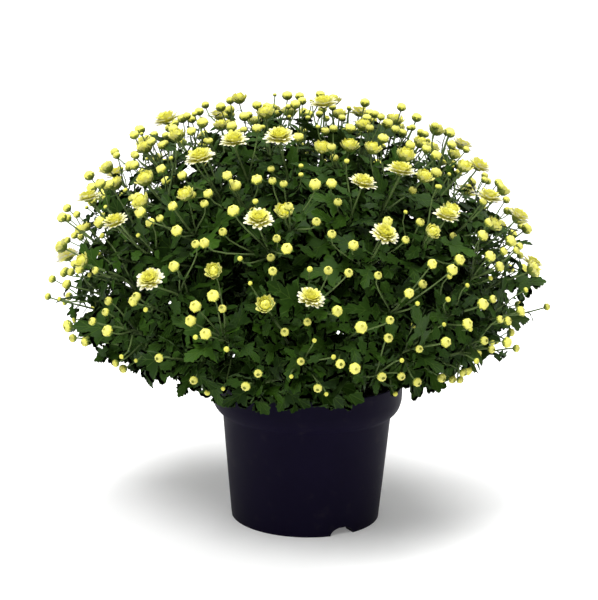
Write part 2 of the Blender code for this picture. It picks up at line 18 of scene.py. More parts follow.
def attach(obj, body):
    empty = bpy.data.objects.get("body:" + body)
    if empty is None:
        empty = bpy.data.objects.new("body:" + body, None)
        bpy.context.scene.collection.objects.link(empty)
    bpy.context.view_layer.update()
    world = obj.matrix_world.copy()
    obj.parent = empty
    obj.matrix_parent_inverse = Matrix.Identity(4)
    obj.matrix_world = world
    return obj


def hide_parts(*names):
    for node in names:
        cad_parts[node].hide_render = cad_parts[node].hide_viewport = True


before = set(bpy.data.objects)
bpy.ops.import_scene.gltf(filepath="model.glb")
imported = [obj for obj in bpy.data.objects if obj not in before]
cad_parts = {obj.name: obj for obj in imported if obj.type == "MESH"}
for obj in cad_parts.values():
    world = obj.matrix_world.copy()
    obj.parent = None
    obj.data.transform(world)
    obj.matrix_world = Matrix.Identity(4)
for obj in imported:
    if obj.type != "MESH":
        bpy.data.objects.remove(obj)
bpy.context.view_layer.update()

SEED = 7
UP = Vector((0, 0, 1))
FULL_TURN = 2 * math.pi
GOLDEN_TURN = math.pi * (3 - math.sqrt(5))

# Pot, as in the solids
POT_HEIGHT = 0.148
RIM_RADIUS = 0.098
COLLAR_FOOT = 0.125
COLLAR_TAPER = 0.0005
BULGE_HEIGHT = 0.1165
BULGE_RADIUS = 0.0945
SHOULDER_HEIGHT = 0.109
SHOULDER_RADIUS = 0.0865
FOOT_RADIUS = 0.0765
WALL = 0.0016
LIP = 0.0022
FOOT_RING_WIDTH = 0.013
FOOT_PAD_RADIUS = 0.022
UNDERSIDE_RECESS = 0.004
FLOOR_HEIGHT = 0.0065
ARCH_ANGLES = (29.5, 149.5, 269.5)
ARCH_WIDTH = 0.026
ARCH_HEIGHT = 0.0085
ARCH_DEPTH = 0.025
DRAIN_ANGLES = (45, 135, 225, 315)
DRAIN_RADIUS = 0.005
DRAIN_PLACE = 0.043
FINE_POT_SIDES = 128
EDGE_RADIUS = 0.0009
BEND_RADIUS = 0.006

# Soil
GAP = 0.0003
SOIL_LEVEL = 0.133
SOIL_MOUND = 0.003
HOLE_DEPTH = 0.045
STRAIGHT_RISE = 0.005
CRUMBS = 300
PERLITE_SHARE = 0.05

# Dome that the heads reach, and the hub where its cells meet
HUB = Vector((0, 0, 0.150))
DOME_RADIUS = 0.251
DOME_LEVEL = 0.229
DOME_RISE = 0.209
DOME_DROP = 0.108
DOME_LEAN = -0.014
FULLNESS_ABOVE = 2.12
FULLNESS_BELOW = 1.65
CELL_MARGIN = 0.0015
BARE_HEART = 0.100
CLEAR_OF_POT = 0.002
CLEAR_OF_HEADS = 0.003

# Stems: rings of (how many, elevation of the cell's middle, distance of the foot from the pot's axis)
STEM_RINGS = ((1, 90, 0.0), (6, 50, 0.014), (10, 15, 0.028))
STEM_END = 0.58
STEM_RADII = (0.0031, 0.0022)
SHOOT_RADII = (0.0016, 0.0008)
STALK_RADII = (0.0010, 0.0006)
SHOOT_BENDS = (0.72, 0.78)

# Leaves of the plan
LEAF_LENGTHS = (0.040, 0.064)
LEAF_WIDTH = 0.70
LEAF_THICKNESS = 0.0017
LEAF_FOLD = 0.22
LEAF_OUTLINE = ((0.20, 0.08), (0.33, 0.62), (0.44, 0.40), (0.63, 1.00), (0.72, 0.50))
LEAF_RIB = (0.42, 0.70)
LEAF_MIDDLE = 0.58
LEAVES = 200
LOWEST_LEAF = -12
LEAF_DEPTHS = (0.80, 0.93)
LEAF_LIMIT = 1.02
LEAF_BENDS = (0.35, 0.85)
LEAF_SPACING = 0.022
LEAF_ROOT_ZONE = 0.006
LEAF_TRIES = 24

# Flower heads of the plan
HEAD_RADII = {
    "open": (0.0128, 0.0150),
    "cup": (0.0066, 0.0084),
    "bud": (0.0048, 0.0060),
    "ring": (0.0037, 0.0046),
    "tiny": (0.0020, 0.0030),
}
HEAD_DEPTHS = (0.95, 1.03)
HEADS_APART = 0.0015
HEAD_LEAN = 0.18
BUD_FOOT = 0.9
SHOOTS = 104
SHOOT_CLEARANCE = 0.036
LOWEST_SHOOT = 11
CUPS_FROM = 26
BUDS_FROM = 20
CUP_SHARE = 0.46
SIDE_HEAD_SHARE = 0.43
SIDE_BUD_SHARE = 0.4
SIDE_SPREAD = (0.020, 0.034)
SIDE_DEPTHS = (0.90, 0.99)
LOWEST_SIDE_HEAD = 7
BLOOM_SEAT = 0.25
BLOOM_SUNK = 0.35
FRONT_BLOOMS = (
    (-31, 61), (-38, 55), (-13, 43), (0, 29), (38, 44), (18, 41), (15, 52), (-36, 31),
    (16, 82), (74, 53), (77, 40), (58, 45), (-72, 40), (-52, 38), (30, 55), (-8, 66),
)
BACK_BLOOMS = (
    (95, 27), (108, 55), (128, 38), (152, 24), (158, 62), (180, 42),
    (-156, 28), (-142, 57), (-118, 38), (-98, 60), (-103, 22),
)

# Finer growth: more heads, high up and low down, of (kind, share, shallowest and deepest place in the dome)
MORE_HEADS = 800
HEAD_STRAY = 0.07
LOWEST_HEAD = 8
LOW_HEADS = 33
LOW_HEAD_SHARE = 0.42
HEAD_GAP = 0.0025
HIGH_MIX = (("bud", 0.36, 0.95, 1.03), ("ring", 0.28, 0.93, 1.02), ("tiny", 0.20, 0.90, 1.00), ("cup", 0.16, 0.95, 1.02))
LOW_MIX = (("bud", 0.16, 0.94, 1.01), ("ring", 0.46, 0.92, 1.00), ("tiny", 0.38, 0.88, 0.99))
STALK_LENGTHS = (0.035, 0.060)
NEAR_STEM = 0.6
HEAD_TURN = 1.1

# Finer growth: leaves along the shoots, first and last share of the shoot, spacing, lengths from low to high
SHOOT_LEAVES = (0.25, 0.93)
SHOOT_LEAF_STEP = 0.0085
SHOOT_LEAF_LENGTHS = (0.056, 0.021)
SHOOT_LEAF_WIDTHS = (0.95, 0.72)
BRACT_SPAN = (0.10, 0.85)
BRACT_STEP = 0.011
BRACT_LENGTHS = (0.023, 0.009)
BRACT_WIDTHS = (0.50, 0.40)
INNER_LEAVES = 34
INNER_SPREAD = 0.42
INNER_DEPTHS = (0.45, 0.80)
SKIRT_LEAVES = 84
SKIRT_ELEVATIONS = (-30, 6)
SKIRT_DEPTHS = (0.50, 0.97)
SKIRT_ROLL = 1.1

# Leaf blade: half its outline from the foot of its stalk to its tip, as (share of length, share of half width)
HALF_LEAF = (
    (0.00, 0.05), (0.16, 0.05), (0.205, 0.14), (0.235, 0.34), (0.262, 0.40), (0.285, 0.57), (0.32, 0.64),
    (0.352, 0.58), (0.37, 0.44), (0.402, 0.44), (0.425, 0.25), (0.455, 0.36), (0.475, 0.62), (0.505, 0.70),
    (0.53, 0.92), (0.575, 1.00), (0.618, 0.97), (0.638, 0.80), (0.675, 0.80), (0.69, 0.58), (0.672, 0.33),
    (0.705, 0.29), (0.74, 0.49), (0.785, 0.57), (0.802, 0.43), (0.845, 0.47), (0.86, 0.31), (0.905, 0.33),
    (0.93, 0.17), (0.97, 0.13),
)
RIB_POINTS = (0.08, 0.17, 0.27, 0.36, 0.45, 0.54, 0.63, 0.72, 0.81, 0.91)
VEINS = ((0.21, 0.32, 0.58), (0.35, 0.59, 0.94), (0.52, 0.775, 0.52), (0.70, 0.90, 0.30))
BETWEEN_VEINS = ((0.33, 0.24), (0.53, 0.40), (0.73, 0.17), (0.43, 0.12))
RIB_RELIEF = -0.010
VEIN_RELIEF = -0.004
BULGE_RELIEF = 0.012
EDGE_DROOP = 0.16
BLADE_THICKNESS = 0.0004
PETIOLE_THICKNESS = 0.0011

# Leaves shorter than these have half as many teeth, or none
SMALL_LEAF = 0.038
BRACT_LEAF = 0.020
BRACT_OUTLINE = ((0.00, 0.06), (0.14, 0.10), (0.36, 0.80), (0.62, 0.95), (0.84, 0.50))

# Petals: rings along a petal as (share of its length, share of its half width)
STRAP = ((0.0, 0.45), (0.40, 0.92), (0.80, 0.96), (1.0, 0.42))
HOOD = ((0.0, 0.55), (0.34, 1.00), (0.72, 0.82), (1.0, 0.20))
BLUNT = ((0.0, 0.55), (0.32, 1.00), (0.66, 0.92), (1.0, 0.44))
POINT = ((0.0, 0.85), (0.50, 0.90), (1.0, 0.08))
PETAL_THICKNESS = 0.00035

# Whorls of each kind of head, in head radii and degrees: how many petals, start radius and height,
# angle where the petal starts and ends, length, half width, cup, paleness, outline
WHORLS = {
    "open": (
        (14, 0.14, -0.10, 14, 8, 0.89, 0.155, 0.30, 1.00, STRAP),
        (14, 0.13, -0.04, 28, 26, 0.84, 0.150, 0.30, 0.80, STRAP),
        (14, 0.12, 0.00, 42, 42, 0.76, 0.140, 0.35, 0.20, STRAP),
        (13, 0.12, 0.02, 54, 60, 0.66, 0.130, 0.40, 0.0, STRAP),
        (12, 0.13, 0.04, 64, 88, 0.56, 0.120, 0.45, 0.0, HOOD),
        (10, 0.14, 0.06, 70, 124, 0.50, 0.120, 0.45, 0.0, HOOD),
    ),
    "cup": (
        (10, 0.20, -0.80, 8, 80, 1.46, 0.33, 0.40, 0.25, STRAP),
        (9, 0.16, -0.72, 12, 100, 1.46, 0.31, 0.40, 0.10, STRAP),
        (8, 0.14, -0.62, 18, 124, 1.38, 0.29, 0.45, 0.0, STRAP),
        (7, 0.12, -0.52, 22, 152, 1.32, 0.27, 0.45, 0.0, HOOD),
    ),
    "bud": (
        (6, 0.48, -0.80, 18, 184, 2.20, 0.58, 0.50, 0.10, BLUNT),
        (5, 0.40, -0.74, 18, 196, 2.06, 0.54, 0.40, 0.0, BLUNT),
    ),
    "ring": (
        (9, 0.47, -0.76, 20, 172, 2.00, 0.40, 0.40, 0.10, BLUNT),
    ),
    "tiny": (),
}
LOOSENESS = {"open": 0.26, "cup": 0.26, "bud": 0.08, "ring": 0.04, "tiny": 0.0}
BRACTS = (7, 0.30, -1.00, 20, 80, 1.22, 0.28, 0.35, 0.0, POINT)
BLOOM_BRACTS = (11, 0.08, -0.24, 8, 40, 0.36, 0.075, 0.30, 0.0, POINT)

# How light the petals are: fresh yellow in open heads, duller in buds
HEAD_TONES = {"open": (0.85, 1.0), "cup": (0.75, 1.0), "bud": (0.30, 0.75), "ring": (0.25, 0.60), "tiny": (0.20, 0.50)}

# Turned parts inside the heads, as (radius, height) in head radii, and how pale they are
CORES = {
    "open": (((0, -0.10), (0.26, -0.06), (0.30, 0.20), (0.22, 0.38), (0, 0.42)), 0.0),
    "cup": (((0, -0.70), (0.50, -0.55), (0.62, -0.10), (0.45, 0.30), (0, 0.44)), 0.0),
    "bud": (((0, -0.75), (0.62, -0.58), (0.84, -0.05), (0.74, 0.38), (0.40, 0.52), (0, 0.44)), -0.1),
    "ring": (((0, -0.75), (0.60, -0.58), (0.82, -0.05), (0.70, 0.36), (0.34, 0.50), (0, 0.42)), -1.0),
    "tiny": (((0, -0.80), (0.62, -0.62), (0.96, -0.05), (0.84, 0.42), (0.46, 0.66), (0, 0.52)), -0.30),
}
CALYX = ((0, -1.00), (0.34, -0.97), (0.72, -0.74), (0.92, -0.40), (0.985, -0.14), (0.86, -0.12), (0, -0.50))
BLOOM_CALYX = ((0, -0.245), (0.12, -0.235), (0.27, -0.16), (0.33, -0.08), (0, -0.02))

# Camera of the photograph, whose frame is 598 x 600
CAMERA_PLACE = (-0.010, -1.79, 0.64)
CAMERA_PITCH = 13
CAMERA_ROLL = 1.0
CAMERA_LENS = 108.5
SENSOR = 36


def circle(centre, axis, side, radius, count, phase=0.0):
    """Points round an axis, counted from the given side of it."""
    across = axis.cross(side)
    turns = [FULL_TURN * (i + phase) / count for i in range(count)]
    return [centre + (side * math.cos(turn) + across * math.sin(turn)) * radius for turn in turns]


def bezier(start, start_handle, end_handle, end, count):
    """Points along a cubic curve."""
    points = []
    for i in range(count):
        t = i / (count - 1)
        s = 1 - t
        near = start * s**3 + start_handle * (3 * s * s * t)
        points.append(near + end_handle * (3 * s * t * t) + end * t**3)
    return points


def towards(azimuth, elevation):
    """A unit vector, from angles in degrees: azimuth runs from the front towards +X."""
    turn, lift = math.radians(azimuth), math.radians(elevation)
    return Vector((math.sin(turn) * math.cos(lift), -math.cos(turn) * math.cos(lift), math.sin(lift)))


def elevation_of(direction):
    """The direction's angle above the horizontal, in degrees."""
    return math.degrees(math.asin(max(-1.0, min(1.0, direction.z))))


def tilted(direction, angle, turn):
    """The direction leant by an angle, towards the side that turn names."""
    side = Quaternion(direction, turn) @ direction.orthogonal().normalized()
    return Quaternion(side, angle) @ direction


def lattice(count, lowest, phase):
    """Directions spread evenly from straight up down to the lowest elevation, turned by the phase."""
    foot = math.sin(math.radians(lowest))
    for i in range(count):
        height = 1 - (1 - foot) * (i + 0.5) / count
        flat, turn = math.sqrt(1 - height * height), i * GOLDEN_TURN + phase
        yield Vector((flat * math.sin(turn), -flat * math.cos(turn), height))


def dome_half(point):
    """How far the point is above the dome's widest level, and how deep and how full that half is."""
    rise = point.z - DOME_LEVEL
    return (rise, DOME_RISE, FULLNESS_ABOVE) if rise >= 0 else (rise, DOME_DROP, FULLNESS_BELOW)


def dome_share(point):
    """Below 1 inside the dome, 1 on it."""
    rise, depth, power = dome_half(point)
    flat = math.hypot(point.x - DOME_LEAN, point.y) / DOME_RADIUS
    return (flat**power + (abs(rise) / depth) ** power) ** (1 / power)


def dome_normal(point):
    """The dome's outward direction at a point on it."""
    rise, depth, power = dome_half(point)
    arm = Vector((point.x - DOME_LEAN, point.y, 0)) / DOME_RADIUS
    flat = arm * arm.length ** (power - 2) / DOME_RADIUS
    return (flat + UP * math.copysign((abs(rise) / depth) ** (power - 1) / depth, rise)).normalized()


def reach(direction):
    """How far the dome is from the hub in this direction."""
    near, far = 0.05, 0.40
    for _ in range(24):
        middle = (near + far) / 2
        if dome_share(HUB + direction * middle) < 1:
            near = middle
        else:
            far = middle
    return near


def stem_plans():
    """One plan for each leafy stem: the middle and walls of its cell, its foot, its heads and its leaves."""
    draw = random.Random(SEED)
    plans = []
    for ring, (count, elevation, foot) in enumerate(STEM_RINGS):
        for i in range(count):
            azimuth = 360 * (i + 0.5 * ring) / count + draw.uniform(-5, 5)
            middle = towards(azimuth, elevation + (draw.uniform(-3, 3) if ring else 0))
            foot_place = towards(azimuth, 0) * foot + UP * SOIL_LEVEL
            plan = {"ring": ring, "middle": middle, "foot": foot_place, "heads": [], "leaves": []}
            plan["path"] = stem_path(plan)
            plans.append(plan)
    middles = [plan["middle"] for plan in plans]
    for plan in plans:
        own = plan["middle"]
        plan["walls"] = [(own - other).normalized() for other in middles if other is not own]
    return plans


def stem_path(plan):
    """From the bottom of its hole in the soil, up and out into the core."""
    middle, foot = plan["middle"], plan["foot"]
    top = HUB + middle * reach(middle) * STEM_END
    bend = foot + UP * STRAIGHT_RISE
    return [foot - UP * (HOLE_DEPTH - GAP), *bezier(bend, bend + UP * 0.03, top - middle * 0.06, top, 5)]


def room(plan, point):
    """How far the point is from the nearest wall of the stem's cell: negative outside it."""
    arm = point - HUB
    return min(arm.dot(wall) for wall in plan["walls"])


def clear_of_pot(point):
    """True beside the pot or above it, and off its rim."""
    beside = math.hypot(point.x, point.y) > RIM_RADIUS + CLEAR_OF_POT
    return beside or point.z > POT_HEIGHT + CLEAR_OF_POT


def shoot_ends():
    """Directions of the shoots' tips, evenly over the dome, each with its kind of head."""
    draw = random.Random(SEED + 1)
    ends = [(towards(*angles), "open") for angles in FRONT_BLOOMS + BACK_BLOOMS]
    blooms = [HUB + direction * reach(direction) for direction, _ in ends]
    for direction in lattice(SHOOTS, LOWEST_SHOOT, 0.0):
        place = HUB + direction * reach(direction)
        if all((bloom - place).length > SHOOT_CLEARANCE for bloom in blooms):
            ends.append((direction, shoot_kind(direction, draw.random())))
    return ends


def shoot_kind(direction, chance):
    """Half-open cups and fat buds grow high up, and only small buds low down."""
    height = elevation_of(direction)
    if height > CUPS_FROM and chance < CUP_SHARE:
        return "cup"
    return "bud" if height > BUDS_FROM else "ring"


def head_at(plan, direction, kind, depth, draw):
    """A head of this kind in that direction, moved in from the cell's walls, or None where it can't fit."""
    radius = draw.uniform(*HEAD_RADII[kind])
    sunk = BLOOM_SUNK * radius if kind == "open" else radius
    for _ in range(30):
        centre = HUB + direction * (reach(direction) * depth - sunk)
        if room(plan, centre) > radius + CELL_MARGIN:
            break
        direction = (direction + plan["middle"] * 0.06).normalized()
    else:
        return None
    lean = Vector((draw.uniform(-1, 1), draw.uniform(-1, 1), 0)) * HEAD_LEAN
    axis = (dome_normal(centre) * 0.5 + UP * 0.65 + lean).normalized()
    return {"kind": kind, "centre": centre, "axis": axis, "radius": radius, "direction": direction}


def head_foot(head):
    """Where the head's stalk ends: inside a bud, or just under an open bloom, which is a piece of its own."""
    if head["kind"] == "open":
        below = BLOOM_SEAT * head["radius"] + GAP
    else:
        below = BUD_FOOT * head["radius"]
    return head["centre"] - head["axis"] * below


def near_path(path, head):
    """True where the path comes close to the head."""
    for start, end in zip(path[:-1], path[1:]):
        nearest, share = intersect_point_line(head["centre"], start, end)
        nearest = start if share < 0 else end if share > 1 else nearest
        if (nearest - head["centre"]).length < head["radius"] + CLEAR_OF_HEADS:
            return True
    return False


def add_head(plan, head, path):
    """Gives the stem this head on its shoot or stalk, unless it touches another head or its stalk."""
    for other in plan["heads"]:
        if (other["centre"] - head["centre"]).length < other["radius"] + head["radius"] + HEADS_APART:
            return False
        if near_path(path, other) or near_path(other["path"], head):
            return False
    head["path"] = path
    plan["heads"].append(head)
    return True


def plan_heads(plans):
    """Gives each stem its shoots, each with a head at its tip, and smaller heads beside most of them."""
    draw = random.Random(SEED + 2)
    for direction, kind in shoot_ends():
        plan = max(plans, key=lambda one: one["middle"].dot(direction))
        depth = 1.0 if kind == "open" else draw.uniform(*HEAD_DEPTHS)
        head = head_at(plan, direction, kind, depth, draw)
        if head is None:
            continue
        root = plan["path"][-1].lerp(plan["path"][-2], draw.uniform(0.0, 0.3))
        bend = HUB + head["direction"] * reach(head["direction"]) * draw.uniform(*SHOOT_BENDS)
        path = [root, bend, head_foot(head)]
        head["side"] = False
        if add_head(plan, head, path) and draw.random() < SIDE_HEAD_SHARE:
            add_side_head(plan, head, draw)


def add_side_head(plan, main, draw):
    """A smaller head on a stalk of its own from the shoot of the main one."""
    kind = "bud" if draw.random() < SIDE_BUD_SHARE and main["kind"] != "ring" else "ring"
    for _ in range(8):
        angle = draw.uniform(*SIDE_SPREAD) / reach(main["direction"])
        way = tilted(main["direction"], angle, draw.uniform(0, FULL_TURN))
        head = head_at(plan, way, kind, draw.uniform(*SIDE_DEPTHS), draw)
        if head is None or elevation_of(way) < LOWEST_SIDE_HEAD:
            continue
        start = main["path"][1].lerp(main["path"][2], draw.uniform(0.0, 0.5))
        head["side"] = True
        if add_head(plan, head, [start, head_foot(head)]):
            return


def leaf_points(leaf):
    """(outline, upper rib, lower rib) of a lobed blade that arches down from its root."""
    along, up = leaf["along"], leaf["up"]
    across = along.cross(up)
    length, bend = leaf["length"], leaf["bend"]
    half_width = length * LEAF_WIDTH / 2

    def rib(share):
        turn = bend * share
        return leaf["root"] + (along * math.sin(turn) - up * (1 - math.cos(turn))) * length / bend

    def lifted(share, amount):
        turn = bend * share
        return (up * math.cos(turn) + along * math.sin(turn)) * amount

    def edge(share, width, sign):
        lift = LEAF_FOLD * half_width * width * (0.6 + 0.4 * math.cos(9 * share + leaf["wave"]))
        return rib(share) + across * (sign * width * half_width) + lifted(share, lift)

    left = [edge(share, width, -1) for share, width in LEAF_OUTLINE]
    right = [edge(share, width, 1) for share, width in LEAF_OUTLINE]
    outline = [rib(0), *left, rib(1), *reversed(right)]
    upper = [rib(share) + lifted(share, LEAF_THICKNESS / 2) for share in LEAF_RIB]
    lower = [rib(share) - lifted(share, LEAF_THICKNESS / 2) for share in LEAF_RIB]
    return outline, upper, lower


def leaf_solid(leaf):
    """The blade: thick along the rib, thin at the edges, with the same triangles above and below."""
    outline, upper, lower = leaf_points(leaf)
    tip = len(LEAF_OUTLINE) + 1
    faces = []
    for first, flip in ((len(outline), False), (len(outline) + len(upper), True)):
        second = first + 1
        for mirrored in (False, True):
            edge = [(len(outline) - k) % len(outline) if mirrored else k for k in range(tip + 1)]
            found = [(edge[k], edge[k + 1], first) for k in range(3)]
            found += [(edge[3], second, first)]
            found += [(edge[k], edge[k + 1], second) for k in range(3, tip)]
            if mirrored != flip:
                found = [tuple(reversed(face)) for face in found]
            faces += found
    return [*outline, *upper, *lower], faces


def crosses(path, leaf):
    """True where the path passes through the blade, except close to the leaf's root."""
    vertices, faces = leaf["solid"]
    for start, end in zip(path[:-1], path[1:]):
        for face in faces[: len(faces) // 2]:
            hit = intersect_ray_tri(*[vertices[index] for index in face], end - start, start)
            if hit is None or (hit - start).length > (end - start).length:
                continue
            if (hit - leaf["root"]).length > LEAF_ROOT_ZONE:
                return True
    return False


def leaf_fits(plan, leaf):
    """True where the leaf stays in its cell, off the pot, off the heads and off the other leaves."""
    outline, upper, _ = leaf_points(leaf)
    samples = outline[1:] + upper
    samples += [a.lerp(b, 0.5) for a, b in zip(outline[1:-1], outline[2:])]
    samples += [point.lerp(upper[k // 6], 0.5) for k, point in enumerate(outline[1:])]
    for point in samples:
        if room(plan, point) < CELL_MARGIN or not clear_of_pot(point):
            return False
        if (point - HUB).length < BARE_HEART or dome_share(point) > LEAF_LIMIT:
            return False
        for head in plan["heads"]:
            if (point - head["centre"]).length < head["radius"] + CLEAR_OF_HEADS:
                return False
    leaf["middle"] = upper[0].lerp(upper[1], 0.5)
    leaf["solid"] = leaf_solid(leaf)
    if any(crosses(head["path"], leaf) for head in plan["heads"]):
        return False
    for other in plan["leaves"]:
        distance = (other["middle"] - leaf["middle"]).length
        if distance < LEAF_SPACING:
            return False
        near = distance < LEAF_LENGTHS[1]
        if near and (crosses(outline, other) or crosses(leaf_points(other)[0], leaf)):
            return False
    return True


def leaf_roots(plan):
    """Places on the stem and its shoots that a leaf may grow from."""
    roots = [plan["path"][-2].lerp(plan["path"][-1], k / 4) for k in range(4)] if plan["ring"] == 2 else []
    for head in plan["heads"]:
        if not head["side"]:
            start, bend, tip = head["path"]
            roots += [start.lerp(bend, 0.7), start.lerp(bend, 0.85)]
            roots += [bend.lerp(tip, k / 6) for k in range(5)]
    return roots


def grow_leaf(plan, middle, roots, draw):
    """A leaf whose blade lies about this point and which grows from the root that suits it best."""
    wanted = draw.uniform(*LEAF_LENGTHS) * LEAF_MIDDLE

    def misfit(root):
        arm = middle - root
        rise = arm.dot((middle - HUB).normalized())
        return abs(arm.length - wanted) + max(0.0, -rise) * 2

    root = min(roots, key=misfit)
    arm = middle - root
    out = (middle - HUB).normalized()
    bend = draw.uniform(*LEAF_BENDS)
    along = arm.normalized()
    up = (out - along * out.dot(along)).normalized()
    raised = Quaternion(along.cross(up), bend * LEAF_MIDDLE / 2)
    leaf = {"root": root, "along": raised @ along, "up": raised @ up, "bend": bend}
    leaf["length"] = min(max(arm.length / LEAF_MIDDLE, LEAF_LENGTHS[0]), LEAF_LENGTHS[1])
    leaf["wave"] = draw.uniform(0, FULL_TURN)
    return leaf


def plan_leaves(plans):
    """Spreads leaves evenly through the outer layer of the dome, each on the stem whose cell it lies in."""
    draw = random.Random(SEED + 3)
    for direction in lattice(LEAVES, LOWEST_LEAF, 1.0):
        plan = max(plans, key=lambda one: one["middle"].dot(direction))
        roots = leaf_roots(plan)
        for attempt in range(LEAF_TRIES):
            way = direction + plan["middle"] * 0.5 * attempt / LEAF_TRIES
            way = tilted(way.normalized(), draw.uniform(0, 0.08), draw.uniform(0, FULL_TURN))
            middle = HUB + way * reach(way) * draw.uniform(*LEAF_DEPTHS)
            leaf = grow_leaf(plan, middle, roots, draw)
            if leaf_fits(plan, leaf):
                plan["leaves"].append(leaf)
                break


class Gathering:
    """Many small shapes that become one mesh. Each point has a place on its shape, a tone and a paleness."""

    def __init__(self):
        self.points, self.places, self.tones, self.pales = [], [], [], []
        self.faces, self.finishes = [], []
        self.count = 0

    def put(self, points, faces, places, tone=0.5, pale=0.0, finish=0):
        """Adds points (n, 3), arrays of faces that count from 0, and places (n, 2)."""
        points = np.asarray(points, float)
        self.points.append(points)
        self.places.append(np.asarray(places, float))
        self.tones.append(np.broadcast_to(np.asarray(tone, float), len(points)))
        self.pales.append(np.broadcast_to(np.asarray(pale, float), len(points)))
        for group in faces:
            self.faces.append(np.asarray(group) + self.count)
            self.finishes.append(np.full(len(group), finish))
        self.count += len(points)

    def made(self, name, materials, slot, nodes):
        """The mesh object, riding with the pot and standing for these solids."""
        mesh = bpy.data.meshes.new(name)
        points = np.concatenate(self.points)
        corners = np.concatenate([group.ravel() for group in self.faces]).astype(np.int32)
        sizes = np.concatenate([np.full(len(group), group.shape[1]) for group in self.faces])
        starts = np.concatenate([[0], np.cumsum(sizes)[:-1]]).astype(np.int32)
        mesh.vertices.add(len(points))
        mesh.vertices.foreach_set("co", points.astype(np.float32).ravel())
        mesh.loops.add(len(corners))
        mesh.loops.foreach_set("vertex_index", corners)
        mesh.polygons.add(len(starts))
        mesh.polygons.foreach_set("loop_start", starts)
        mesh.polygons.foreach_set("material_index", np.concatenate(self.finishes).astype(np.int32))
        mesh.update(calc_edges=True)
        layer = mesh.uv_layers.new(name="place")
        layer.data.foreach_set("uv", np.concatenate(self.places)[corners].astype(np.float32).ravel())
        for label, values in (("tone", self.tones), ("pale", self.pales)):
            attribute = mesh.attributes.new(label, "FLOAT", "POINT")
            attribute.data.foreach_set("value", np.concatenate(values).astype(np.float32))
        return finished(mesh, name, materials, nodes)


def finished(mesh, name, materials, nodes):
    """Shades the mesh, gives it its materials and hands it to the frame."""
    for one in materials:
        mesh.materials.append(one)
    mesh.shade_smooth()
    mesh.set_sharp_from_angle(angle=math.radians(58))
    piece = bpy.data.objects.new(name, mesh)
    bpy.context.scene.collection.objects.link(piece)
    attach(piece, "root")
    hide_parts(*nodes)
    return piece


def smoothed(points, last_way, steps):
    """A smooth curve through the points, that leaves the last one in the given direction."""
    first, last = points[0], points[-1]
    before = first * 2 - points[1]
    after = last + last_way * (last - points[-2]).length
    chain = [before, *points, after]
    curve = []
    for a, b, c, d in zip(chain[:-3], chain[1:-2], chain[2:-1], chain[3:]):
        for k in range(steps):
            t = k / steps
            pull = (c - a) * t + (a * 2 - b * 5 + c * 4 - d) * t**2 + (b * 3 - a - c * 3 + d) * t**3
            curve.append(b + pull / 2)
    return [*curve, last]


def put_tube(gathering, path, radii, sides, tone, finish=0):
    """A round bar along the path, which thins from the first radius to the second."""
    path = np.array(path)
    ways = np.gradient(path, axis=0)
    ways /= np.linalg.norm(ways, axis=1)[:, None]
    side = np.array(Vector(ways[0]).orthogonal().normalized())
    rings = []
    turns = np.arange(sides) * FULL_TURN / sides
    for point, way, radius in zip(path, ways, np.linspace(*radii, len(path))):
        side = side - way * side.dot(way)
        side /= np.linalg.norm(side)
        across = np.cross(way, side)
        rings.append(point + radius * (np.outer(np.cos(turns), side) + np.outer(np.sin(turns), across)))
    shares = np.repeat(np.linspace(0, 1, len(path)), sides)
    places = np.column_stack([shares, np.tile(np.arange(sides) / sides, len(path))])
    ends = np.array([np.arange(sides)[::-1], np.arange(sides) + (len(path) - 1) * sides])
    gathering.put(np.concatenate(rings), [ring_quads(len(path), sides), ends], places, tone, 0, finish)


def ring_quads(rings, sides):
    """Four-sided faces between rings of points that follow each other."""
    i = np.arange(sides)
    j = (i + 1) % sides
    starts = np.arange(rings - 1)[:, None] * sides
    quads = np.stack([starts + i, starts + j, starts + j + sides, starts + i + sides], axis=2)
    return quads.reshape(-1, 4)


def put_turned(gathering, head, profile, sides, tone, pale, finish=0):
    """A closed turned body about the head's axis."""
    radius, axis, centre = head["radius"], np.array(head["axis"]), np.array(head["centre"])
    side = np.array(head["side_way"])
    across = np.cross(axis, side)
    turns = np.arange(sides) * FULL_TURN / sides
    rim = np.outer(np.cos(turns), side) + np.outer(np.sin(turns), across)
    rings = [centre + radius * (rim * r + axis * h) for r, h in profile[1:-1]]
    poles = [centre + radius * axis * profile[0][1], centre + radius * axis * profile[-1][1]]
    points = np.concatenate([*rings, poles])
    i = np.arange(sides)
    j = (i + 1) % sides
    low, high, top = len(points) - 2, len(points) - 1, (len(rings) - 1) * sides
    fans = [np.column_stack([j, i, np.full(sides, low)])]
    fans.append(np.column_stack([top + i, top + j, np.full(sides, high)]))
    shares = np.append(np.repeat(np.linspace(0, 1, len(rings)), sides), [0, 1])
    places = np.column_stack([shares, np.full(len(points), 0.5)])
    gathering.put(points, [ring_quads(len(rings), sides), *fans], places, tone, pale, finish)


